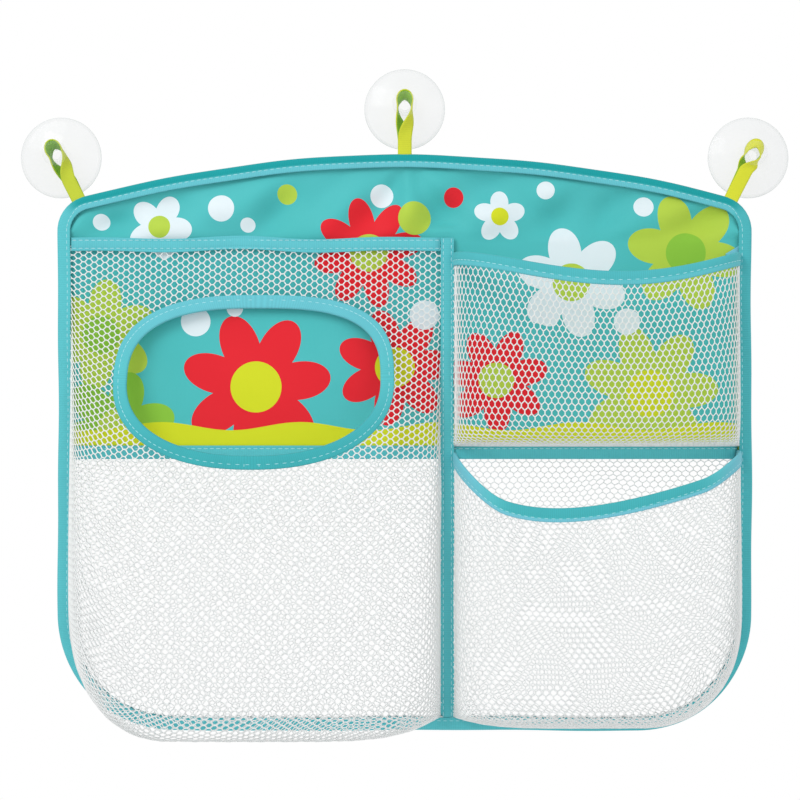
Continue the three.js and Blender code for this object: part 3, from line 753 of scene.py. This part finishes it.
def net_cells(columns, rows, on_side):
    """A flat unit net: a grid whose upright edges go by turns, pulled into six-sided cells."""
    bm = bmesh.new()
    bmesh.ops.create_grid(bm, x_segments=2 * columns, y_segments=rows, size=0.5)

    def column(vert):
        return round((vert.co.x + 0.5) * 2 * columns)

    def row(vert):
        return round((vert.co.y + 0.5) * rows)

    spare = [
        edge for edge in bm.edges
        if column(edge.verts[0]) == column(edge.verts[1]) and edge.is_manifold
        and (column(edge.verts[0]) + min(row(edge.verts[0]), row(edge.verts[1]))) % 2
    ]
    bmesh.ops.dissolve_edges(bm, edges=spare)
    for vert in bm.verts:
        side = 1 if (column(vert) + row(vert)) % 2 == 0 else -1
        if 0 < row(vert) < rows:
            vert.co.y += side * ZIGZAG / rows
    if on_side:
        bmesh.ops.rotate(bm, verts=bm.verts, matrix=Matrix.Rotation(pi / 2, 3, "Z"))
    return bm


def knit(name, bm, thread):
    """Turns the cells' edges into thread."""
    bm.normal_update()
    bmesh.ops.wireframe(bm, faces=bm.faces, thickness=thread, use_replace=True, use_boundary=True)
    return new_piece(name, bm, [WHITE_NET])


def lengths_along(points):
    return np.cumsum([0.0] + [(b - a).length for a, b in zip(points, points[1:])])


class NetLay:
    """Lays a unit net on a pocket along the net's own surface. An even net keeps its width in every row and
    runs past the side seams, and any other is gathered at them."""

    SAMPLES = 240
    MEASURED_ROWS = (0.2, 0.5, 0.8)

    def __init__(self, pocket, foot_hem, top_reach, even):
        self.pocket, self.even = pocket, even
        middle = (pocket.start + pocket.end) / 2
        height = pocket.high(middle) - pocket.low(middle)
        self.ups = np.linspace(-foot_hem / height, 1 + top_reach / height, self.SAMPLES)
        self.up_lengths = lengths_along([pocket.point(middle, up) for up in self.ups])
        self.xs = np.linspace(pocket.start - NET_HEM, pocket.end + NET_HEM, self.SAMPLES)
        self.widest = max(
            lengths_along([pocket.point(x, up) for x in self.xs])[-1] for up in self.MEASURED_ROWS)
        self.rows = {}

    def place(self, u, v):
        up = float(np.interp(v * self.up_lengths[-1], self.up_lengths, self.ups))
        key = round(v, 6)
        if key not in self.rows:
            self.rows[key] = lengths_along([self.pocket.point(x, up) for x in self.xs])
        lengths = self.rows[key]
        whole = self.widest if self.even else lengths[-1]
        walked = lengths[-1] / 2 + (u - 0.5) * whole
        x = float(np.interp(walked, lengths, self.xs))
        past_seam = min(walked, 0) + max(walked - lengths[-1], 0)
        return self.pocket.point(x + past_seam, up)


def pleat(point, u, v, depth):
    """Small gathers that start at the side and bottom seams and die out towards the middle."""
    sides = (exp(-u / PLEAT_REACH) + exp((u - 1) / PLEAT_REACH)) / 2
    near = exp(-v / PLEAT_RISE) + sides
    wave = sin(tau * (PLEATS * u + PLEAT_WANDER * sin(5 * v)))
    start = sin(pi * clamp(v / PLEAT_START) / 2)
    point.y -= depth * near * wave * start * sqrt(max(sin(pi * u), 0))
    return point


def pocket_net(name, node, pocket, cells, on_side, thread, foot_hem, top_reach, gather, keep=None):
    """A pocket's net and the size it was cut to. Only the cells whose middles are to be kept stay."""
    lay = NetLay(pocket, foot_hem, top_reach, even=on_side)
    bm = net_cells(*cells, on_side)
    for vert in bm.verts:
        u, v = vert.co.x + 0.5, vert.co.y + 0.5
        vert.co = pleat(lay.place(u, v), u, v, gather)
    if keep:
        cut = [face for face in bm.faces if not keep(face.calc_center_median())]
        bmesh.ops.delete(bm, geom=cut, context="FACES")
    return sewn(knit(name, bm, thread), "white_net", node), (lay.widest, lay.up_lengths[-1])


def waves(table, along, across):
    return sum(depth * sin(along / run + across / drift) for depth, run, drift in table)


def drain_net():
    half = HALF_WIDTH - DRAIN_INSET
    bm = net_cells(*DRAIN_CELLS, on_side=False)
    for vert in bm.verts:
        x = mix(-half, half, vert.co.x + 0.5)
        foot = outline_bottom(x, DRAIN_INSET)
        z = mix(foot, WAIST, vert.co.y + 0.5)
        free = smoothstep(HALF_WIDTH - abs(x), 0.004, 0.03) * smoothstep(waist_low.z - z, 0, 0.02)
        free *= smoothstep(z - foot, 0, 0.02)
        pull = waves(DRAIN_PULLS, z, x)
        sway = waves(DRAIN_SWAYS, x, z)
        stretch = waves(DRAIN_STRETCHES, x, z)
        vert.co = Vector((x + pull * free, CLOTH_FRONT + sway * free, z + stretch * free))
    return sewn(knit("drain_net", bm, thread=0.00068), "white_net", "drain_net_panel")


# Tapes

def folded_section(v, half_depth):
    """A tape folded in two, at a share of its width: how far from its folded edge, and how far forward."""
    straight = TAPE_WIDTH - half_depth - TAPE_THICKNESS / 2
    bend = pi * half_depth
    walked = v * (2 * straight + bend)
    if walked < straight:
        return TAPE_WIDTH - walked, half_depth
    if walked < straight + bend:
        angle = (walked - straight) / half_depth
        return half_depth * (1 - sin(angle)) + TAPE_THICKNESS / 2, half_depth * cos(angle)
    return TAPE_WIDTH - (2 * straight + bend - walked), -half_depth


def swelled_section(v, half_depth, seam):
    """The folded section with the tape's soft swell, pulled in along its seam."""
    away, forward = folded_section(v, half_depth)
    if abs(forward) <= FLAT_PART * half_depth:
        return away, forward
    groove = FOLDED_PULL * exp(-((away - seam) / FOLDED_PULL_WIDTH) ** 2)
    swell = FOLDED_SWELL * sin(pi * clamp(away / TAPE_WIDTH)) - groove
    return away, forward + copysign(swell, forward)


def folded_tape(name, bm, node):
    """A folded tape of the panel, from its laid sheet."""
    bmesh.ops.recalc_face_normals(bm, faces=bm.faces)
    piece = thicken(new_piece(name, bm, [TEAL_TAPE]), TAPE_THICKNESS)
    return sewn(piece, "teal_tape", node)


RIM_HALF_DEPTH = (rim_high.y - rim_low.y - TAPE_THICKNESS) / 2
TOP_RUN_SEAM = 0.0050
SIDE_RUN_SEAM = 0.0061


def top_run(share):
    """How much of the top run a place on the rim is, from 0 on the sides to 1 along the bow."""
    return smoothstep(-rim_place(share)[1].y, 0.55, 0.9)


def rim_seam(share):
    return mix(SIDE_RUN_SEAM, TOP_RUN_SEAM, top_run(share))


def rim_binding():
    def place(u, v):
        spot, inward = rim_place(u)
        away, forward = swelled_section(v, RIM_HALF_DEPTH, rim_seam(u))
        at = spot + inward * (away + rim_wobble(u))
        return Vector((at.x, RIM_MIDDLE - forward, at.y))

    # Deeper towards the right; beyond its seam the top run is painted deep teal as shade
    def dye_and_shade(u, v):
        away = folded_section(v, RIM_HALF_DEPTH)[0]
        outer = smoothstep(TOP_RUN_SEAM - away, 0, TONE_STEP)
        side = mix(SIDE_TONE, RIGHT_TONE, smoothstep(rim_place(u)[0].x, 0, HALF_WIDTH))
        return mix(side, mix(TOP_TONE, 1.0, outer), top_run(u))

    bm = laid_grid((400, 24), place, length=RIM_LENGTH, width=2 * TAPE_WIDTH, ring=True, dye_and_shade=dye_and_shade)
    return folded_tape("rim_binding", bm, "edge_binding")


def flat_tape(name, node, upright, wave, seams, dye_and_shade):
    """A straight tape sewn flat along its seams."""
    low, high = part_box(node)
    middle = (low + high) / 2
    start, end = (low.z, high.z) if upright else (low.x, high.x)

    def place(u, v):
        along = mix(start, end, u)
        across = (v - 0.5) * TAPE_WIDTH
        drift = wave * sin(tau * (2.3 * u + 0.2)) * sin(pi * u)
        puff = FLAT_SWELL * sin(pi * v)
        for seam in seams:
            puff -= FLAT_PULL * exp(-((v - seam) * TAPE_WIDTH / FLAT_PULL_WIDTH) ** 2)
        y = low.y + TAPE_THICKNESS / 2 - puff
        if upright:
            return Vector((middle.x + across + drift, y, along))
        return Vector((along, y, middle.z + across + drift))

    step = 0.004
    columns = max(24, round((end - start) / step))
    bm = laid_grid((columns, 14), place, length=end - start, width=TAPE_WIDTH, dye_and_shade=dye_and_shade)
    piece = forward_sheet(name, bm, [TEAL_TAPE])
    return sewn(thicken(piece, TAPE_THICKNESS), "teal_tape", node)


MOUTH_HALF_DEPTH = 0.00065
UPPER_SEAM = 0.0050
LOWER_SEAM = 0.0058


def mouth_line(pocket, mouth, share):
    """A place on an open mouth's folded edge, and the direction out of the pocket there."""
    x = mix(pocket.start, pocket.end, (1 - cos(pi * share)) / 2)
    step = 0.0004
    ahead = pocket.point(min(x + step, pocket.end), 1)
    behind = pocket.point(max(x - step, pocket.start), 1)
    out = Vector((ahead.y - behind.y, behind.x - ahead.x, 0)).normalized()
    spot = pocket.point(x, 1)
    return Vector((x, spot.y + NET_THICKNESS / 2, mouth(x))), out


def mouth_tape(name, node, pocket, mouth, seam, edge_tone, end_tone, net_tone):
    """Tape folded over an open mouth, of one tone above its seam, one at its ends and one below."""
    def dye_and_shade(u, v):
        away = folded_section(v, MOUTH_HALF_DEPTH)[0]
        edge = mix(edge_tone, end_tone, smoothstep(abs(2 * u - 1), 0.4, 0.75))
        return mix(edge, net_tone, smoothstep(away - seam, 0, TONE_STEP))

    def place(u, v):
        edge, out = mouth_line(pocket, mouth, u)
        away, forward = swelled_section(v, MOUTH_HALF_DEPTH, seam)
        spot = edge + out * forward
        spot.z -= away + MOUTH_WANDER * sin(9 * u + 1) * sin(pi * u)
        return spot

    bm = laid_grid((90, 22), place, length=0.23, width=2 * TAPE_WIDTH, dye_and_shade=dye_and_shade)
    return folded_tape(name, bm, node)


TAB_LEFT = 0.0077
TAB_LOW = 0.0034
TAB_TUCK = 0.003
TAB_CURL = 0.0004
TAB_HEIGHTS = (-0.0907, -0.0959, -0.0935, -0.0842)


def tape_end():
    """The cut end of the upper mouth's tape, which lies on the cloth and goes under the rim."""
    edge = HALF_WIDTH - TAPE_WIDTH
    outs = (edge - TAB_LEFT, edge - TAB_LOW, edge + TAB_TUCK, edge + TAB_TUCK)
    left, low, right, high = [Vector((x, z)) for x, z in zip(outs, TAB_HEIGHTS)]

    def place(u, v):
        at = left.lerp(low, u).lerp(high.lerp(right, u), v)
        return Vector((at.x, CLOTH_FRONT - TAPE_THICKNESS - TAB_CURL * sin(pi * u), at.y))

    bm = laid_grid((8, 8), place, length=TAPE_WIDTH, width=TAPE_WIDTH, dye_and_shade=0.05)
    piece = forward_sheet("upper_mouth_tape_end", bm, [TEAL_TAPE])
    return sewn(thicken(piece, TAPE_THICKNESS), "teal_tape")


OVAL_SEAM = 0.0052
LIP_FORWARD = 0.003


def oval_lip(share):
    """How far the oval's lower lip stands forward of the net."""
    return LIP_FORWARD * clamp(-sin(tau * share)) ** 1.5


def oval_tape():
    def place(u, v):
        away, forward = swelled_section(v, MOUTH_HALF_DEPTH, OVAL_SEAM)
        spot = oval_place(u, TAPE_WIDTH - away)
        middle = left_pocket.front(spot.x, spot.y) + NET_THICKNESS / 2
        stand = oval_lip(u) * (1 - away / TAPE_WIDTH)
        return Vector((spot.x, middle - forward - stand, spot.y))

    # Painted shade: the oval's tape is painted deeper teal at its bottom and paler at its top
    def dye_and_shade(u, v):
        deep, pale = 0.78, 0.3
        return mix(deep, pale, smoothstep(sin(tau * u), -1, 1))

    bm = laid_grid((180, 22), place, length=0.44, width=2 * TAPE_WIDTH, ring=True, dye_and_shade=dye_and_shade)
    return folded_tape("oval_mouth_tape", bm, "oval_mouth_binding")


# Stitching

def sew(places, path, length):
    """Adds where the stitches of a seam go. Its path(share) gives a place and the way out of the cloth."""
    count = round(length / STITCH_PITCH)
    for k in range(count):
        share = (k + 0.5) / count
        reach = 0.25 / count
        spot, out = path(share)
        along = (path(share + reach)[0] - path(share - reach)[0]).normalized()
        side = out.cross(along).normalized()
        turn = Matrix((along, side, along.cross(side))).transposed().to_4x4()
        size = Matrix.Diagonal((STITCH_LENGTH / 2, STITCH_WIDTH / 2, STITCH_HEIGHT / 2, 1))
        places.append(Matrix.Translation(spot) @ turn @ size)


FORWARD = Vector((0, -1, 0))


def rim_path(forward):
    def path(share):
        spot, inward = rim_place(share)
        at = spot + inward * (rim_seam(share) + rim_wobble(share))
        y = RIM_MIDDLE - forward * (RIM_HALF_DEPTH + TAPE_THICKNESS / 2)
        return Vector((at.x, y, at.y)), FORWARD * forward
    return path


def mouth_path(pocket, mouth, seam):
    def path(share):
        edge, out = mouth_line(pocket, mouth, clamp(share))
        return edge + out * (MOUTH_HALF_DEPTH + TAPE_THICKNESS / 2) - Vector((0, 0, seam)), out
    return path


def oval_path(share, away=OVAL_SEAM):
    spot = oval_place(share, TAPE_WIDTH - away)
    y = left_pocket.front(spot.x, spot.y) + NET_THICKNESS / 2 - MOUTH_HALF_DEPTH - TAPE_THICKNESS / 2
    return Vector((spot.x, y - oval_lip(share) * (1 - away / TAPE_WIDTH), spot.y)), FORWARD


# Places of the seams across a tape, and where the ends of a tape join
TAPE_SEAMS = (0.2, 0.8)
WAIST_SEAM = 0.78
RIM_JOIN = -0.019
JOIN_WIDTH = 0.006
JOIN_INSET = 0.0012
OVAL_JOIN = 0.745
OVAL_JOIN_WIDTH = 0.012


def stitching():
    places = []

    def straight(start, end):
        start, end = Vector(start), Vector(end)
        sew(places, lambda share: (start.lerp(end, share), FORWARD), (end - start).length)

    sew(places, rim_path(1), RIM_LENGTH)
    sew(places, rim_path(-1), RIM_LENGTH)
    sew(places, oval_path, length=0.43)
    sew(places, mouth_path(upper_pocket, upper_mouth, UPPER_SEAM), length=0.20)
    sew(places, mouth_path(lower_pocket, lower_mouth, LOWER_SEAM), length=0.23)
    for seam in TAPE_SEAMS:
        x = divider_low.x + seam * TAPE_WIDTH
        straight((x, TAPE_FRONT, divider_low.z), (x, TAPE_FRONT, divider_high.z))
        z = top_tape_low.z + seam * TAPE_WIDTH
        straight((top_tape_low.x, TAPE_FRONT, z), (top_tape_high.x, TAPE_FRONT, z))
    z = waist_low.z + WAIST_SEAM * TAPE_WIDTH
    straight((waist_low.x, waist_low.y, z), (waist_high.x, waist_low.y, z))
    inset = TAPE_SEAMS[0] * TAPE_WIDTH
    for z in (divider_high.z - inset, divider_high.z - TAPE_WIDTH):
        straight((divider_low.x + inset, TAPE_FRONT, z), (divider_high.x - inset, TAPE_FRONT, z))
    for x in (RIM_JOIN, RIM_JOIN + JOIN_WIDTH):
        straight((x, rim_low.y, FOOT + inset), (x, rim_low.y, FOOT + TAPE_WIDTH - inset))
    for share in (OVAL_JOIN, OVAL_JOIN + OVAL_JOIN_WIDTH):
        straight(oval_path(share, JOIN_INSET)[0], oval_path(share, TAPE_WIDTH - JOIN_INSET)[0])
    stitch = bmesh.new()
    lying = Matrix.Rotation(pi / 2, 4, "Y")
    bmesh.ops.create_uvsphere(stitch, u_segments=6, v_segments=4, radius=1, matrix=lying)
    bm = bmesh.new()
    for place in places:
        shape = bpy.data.meshes.new("stitch")
        stitch.to_mesh(shape)
        shape.transform(place)
        bm.from_mesh(shape)
        bpy.data.meshes.remove(shape)
    stitch.free()
    return sewn(new_piece("seam_stitches", bm, [THREAD_TEAL]), "teal_tape")


# Hanging loops and suction cups

def loop_path(share, twist_start, top_tilt):
    """A place on the loop's tape at a share of its length, its outward face and its width's direction."""
    half = LOOP_TAPE_THICKNESS / 2
    bend = NECK_RADIUS + 2 * CLEARANCE + half
    rise = LOOP_TAPE_WIDTH / 2 * sin(abs(top_tilt))
    root = LOOP_HALF_GAP + half
    leg = LOOP_LENGTH + LOOP_SUNK
    top = pi * bend
    walked = share * (2 * leg + top)
    if leg < walked < leg + top:
        angle = (walked - leg) / bend
        out = Vector((cos(angle), 0, sin(angle)))
        spot = out * bend + Vector((0, 0, LOOP_LENGTH + rise * sin(angle)))
        wide = Vector((0, 1, 0))
        tilt = top_tilt * sin(angle)
    else:
        side = 1 if walked <= leg else -1
        climb = (walked if side > 0 else 2 * leg + top - walked) / leg
        height = mix(-LOOP_SUNK, LOOP_LENGTH, climb)
        part = clamp(height / LOOP_LENGTH)
        turn = pi / 2 * smoothstep(part, twist_start, 1)
        out = Vector((sin(turn), -cos(turn), 0)) * side
        wide = Vector((cos(turn), sin(turn), 0))
        spot = out * mix(root, bend, smoothstep(part, 0, 1)) + Vector((0, 0, height))
        tilt = 0
    return spot, out * cos(tilt) + wide * sin(tilt), wide * cos(tilt) - out * sin(tilt)


def settle(piece):
    """Applies the piece's modifiers to its mesh."""
    graph = bpy.context.evaluated_depsgraph_get()
    piece.data = bpy.data.meshes.new_from_object(piece.evaluated_get(graph))
    piece.modifiers.clear()


def hanging_loop(side, seam, lean, twist_start, top_tilt, dye_and_shade):
    stand = Matrix.Translation(seam) @ Matrix.Rotation(-lean, 4, "Y")

    def place(u, v):
        spot, out, wide = loop_path(u, twist_start, top_tilt)
        edge = 2 * v - 1
        return stand @ (spot + wide * edge * LOOP_TAPE_WIDTH / 2 - out * LOOP_CURL * edge ** 2)

    bm = laid_grid((96, 8), place, length=0.078, width=LOOP_TAPE_WIDTH, dye_and_shade=dye_and_shade)
    bmesh.ops.reverse_faces(bm, faces=bm.faces)
    piece = new_piece(f"{side}_hanging_loop", bm, [LIME_TAPE, LIME_SHADED_INSIDE])
    # The face inside the loop takes the second material, the lime tape with painted shade
    settle(thicken(piece, LOOP_TAPE_THICKNESS, reverse=1))
    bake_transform(piece)
    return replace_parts(piece, f"{side}_loop")


def suction_cup(side, centre):
    """A moulded cup turned about Y, with its lip on the wall and its button head towards the front."""
    bm = bmesh.new()
    neck_front = cup_low.y + HEAD_HEIGHT
    profile = []
    for k in range(HOLLOW_STEPS + 1):
        share = k / HOLLOW_STEPS
        profile.append(((CUP_RADIUS - LIP_WIDTH) * share, -SUCTION_DEPTH * (1 - share ** 2)))
    profile.append((CUP_RADIUS, 0))
    for k in range(CUP_STEPS, -1, -1):
        share = k / CUP_STEPS
        height = mix(CUP_HEIGHT, RIM_THICKNESS, share ** CUP_SLOPE)
        profile.append((mix(NECK_RADIUS, CUP_RADIUS, share), -height))
    profile += [
        (NECK_RADIUS, neck_front),
        (HEAD_RADIUS, neck_front - HEAD_CHAMFER),
        (HEAD_RADIUS, cup_low.y + HEAD_ROUND),
        (HEAD_RADIUS - HEAD_ROUND, cup_low.y),
        (0, cup_low.y),
    ]
    verts = [bm.verts.new(centre + Vector((radius, y, 0))) for radius, y in profile]
    edges = [bm.edges.new(pair) for pair in zip(verts, verts[1:])]
    bmesh.ops.spin(bm, geom=verts + edges, cent=centre, axis=(0, 1, 0), angle=tau, steps=72, use_merge=True)
    bmesh.ops.remove_doubles(bm, verts=bm.verts, dist=1e-6)
    bmesh.ops.recalc_face_normals(bm, faces=bm.faces)
    sharp = [edge for edge in bm.edges if edge.is_manifold and edge.calc_face_angle() > SHARP_ANGLE]
    bmesh.ops.bevel(bm, geom=sharp, offset=0.0004, segments=3, profile=0.5, affect="EDGES", material=-1)
    haze_and_rim_shade = bm.verts.layers.float.new("haze_and_rim_shade")
    for vert in bm.verts:
        away = vert.co - centre
        edge = smoothstep(hypot(away.x, away.z), CUP_RADIUS - EDGE_WIDTH, CUP_RADIUS)
        # The rim band is painted greyer: painted shade
        vert[haze_and_rim_shade] = KNOB_HAZE if away.y < -CUP_HEIGHT - CLEARANCE else mix(BODY_HAZE, EDGE_PAINTED_SHADE, edge)
    piece = new_piece(f"{side}_cup", bm, [CLEAR_PVC])
    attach(piece, f"{side}_cup")
    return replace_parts(piece, f"{side}_suction_cup")


def hangers():
    corner = outline_arcs(0)
    for side, (hand, twist_start, top_tilt, dye_and_shade) in LOOPS.items():
        lean = -hand * LOOP_LEAN
        reach = corner.top if hand else 0
        z = corner.top_z if hand else PEAK
        x = hand * corner.top_x
        seam = Vector((x - reach * sin(lean), RIM_MIDDLE, z + reach * cos(lean)))
        hanging_loop(side, seam, lean, twist_start, top_tilt, dye_and_shade)
        low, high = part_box(f"{side}_suction_cup")
        suction_cup(side, Vector(((low.x + high.x) / 2, 0, (low.z + high.z) / 2)))


# Assembly

cloth = printed_cloth()
drain = drain_net()
big_net, big_size = pocket_net(
    "big_pocket_net", "left_pocket_net", left_pocket, LEFT_CELLS, on_side=True, thread=0.0009,
    foot_hem=NET_HEM, top_reach=0.004, gather=0.0012,
    keep=lambda spot: left_pocket.start - NET_HEM < spot.x < left_pocket.end + NET_HEM
    and not inside_oval(spot.x, spot.z, TAPE_WIDTH / 2),
)
upper_net, upper_size = pocket_net(
    "upper_pocket_mesh", "upper_pocket_net", upper_pocket, UPPER_CELLS, on_side=False,
    thread=0.00085, foot_hem=0, top_reach=UNDER_MOUTH - NET_HEM, gather=0.0012,
)
lower_net, lower_size = pocket_net(
    "lower_pocket_mesh", "lower_pocket_net", lower_pocket, LOWER_CELLS, on_side=False,
    thread=0.00085, foot_hem=NET_HEM, top_reach=UNDER_MOUTH - NET_HEM, gather=0.0016,
)
binding = rim_binding()
waist = flat_tape("waist_seam_tape", "waist_tape", upright=False, wave=0, seams=(WAIST_SEAM,), dye_and_shade=0.5)
divider = flat_tape(
    "divider_seam_tape", "divider_tape", upright=True, wave=0.0004, seams=TAPE_SEAMS, dye_and_shade=0.5)
top_tape = flat_tape(
    "big_pocket_top_tape", "left_pocket_top_tape", upright=False, wave=0.0012, seams=TAPE_SEAMS, dye_and_shade=0.42)
oval = oval_tape()
upper_tape = mouth_tape(
    "upper_mouth_tape", "upper_mouth_binding", upper_pocket, upper_mouth, UPPER_SEAM,
    edge_tone=0.62, end_tone=0.62, net_tone=0.40)
lower_tape = mouth_tape(
    "lower_mouth_tape", "lower_mouth_binding", lower_pocket, lower_mouth, LOWER_SEAM,
    edge_tone=0.72, end_tone=0.15, net_tone=0.10)
tab = tape_end()
stitches = stitching()
hangers()

# Each pocket net, the size it was cut to and its tapes, which are put into a list.
for net, cut, tapes in ((big_net, big_size, [oval, top_tape]), (upper_net, upper_size, [upper_tape]),
                        (lower_net, lower_size, [lower_tape])):
    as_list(tapes)


# Stage, light and camera

FLOOR_HEIGHT = -0.62
FLOOR_RADIUS = 0.7
FLOOR_FADE = 0.4
FLOOR_GRAIN = 0.025


def floor():
    """Plain white floor that keeps the shadow and fades out at its rim."""
    material, tree, place = surface("white_floor", Roughness=0.9)
    away = add(tree, "VectorMath", [place, (0, 0, FLOOR_HEIGHT)], operation="DISTANCE", out="Value")
    fading = {"Value": away, "From Min": FLOOR_RADIUS, "From Max": FLOOR_FADE * FLOOR_RADIUS}
    fade = add(tree, "MapRange", fading)
    white = mottled(tree, place, FLOOR_GRAIN, "#FAFAFA", "#FFFFFF")[0]
    wire(tree, Base_Color=white, Alpha=fade)
    bm = bmesh.new()
    bmesh.ops.create_circle(bm, cap_ends=True, segments=96, radius=FLOOR_RADIUS,
                            matrix=Matrix.Translation((0, 0, FLOOR_HEIGHT)))
    piece = new_piece("floor", bm, [material])


def world(level):
    """White behind the object and in its reflections, and a plain level of light all round."""
    made = bpy.data.worlds.new("studio")
    bpy.context.scene.world = made
    made.use_nodes = True
    tree = made.node_tree
    shader = tree.nodes["Background"]
    rays = add(tree, "LightPath").node.outputs
    seen = add(tree, "Math", [rays["Is Camera Ray"], rays["Is Glossy Ray"]], operation="MAXIMUM")
    clear = add(tree, "Math", [seen, rays["Is Transmission Ray"]], operation="MAXIMUM")
    strength = add(tree, "MapRange", {"Value": clear, "To Min": level})
    fill(shader, "Color", "#FFFFFF")
    fill(shader, "Strength", strength)


def soft_lamp(name, place, power, size):
    lamp = bpy.data.lights.new(name, "AREA")
    lamp.energy = power
    lamp.size = size
    made = new_object(name, lamp)
    made.location = place
    towards = Vector((0, RIM_MIDDLE, CAMERA_Z)) - Vector(place)
    made.rotation_euler = towards.to_track_quat("-Z", "Y").to_euler()


def camera():
    lens = bpy.data.cameras.new("photo_view")
    lens.sensor_width = SENSOR_WIDTH
    lens.lens = SENSOR_WIDTH * CAMERA_DISTANCE / (PHOTO_PIXELS * PIXEL_SIZE)
    made = new_object("photo_view", lens)
    made.location = (CAMERA_X, -CAMERA_DISTANCE, CAMERA_Z)
    made.rotation_euler = (pi / 2, 0, 0)
    bpy.context.scene.camera = made


floor()
world(level=0.68)
soft_lamp("key", place=(-0.75, -1.00, 0.65), power=8.0, size=0.7)
soft_lamp("fill", place=(0.9, -1.0, 0.0), power=2.0, size=1.0)
camera()
bpy.context.scene.view_settings.view_transform = "Standard"
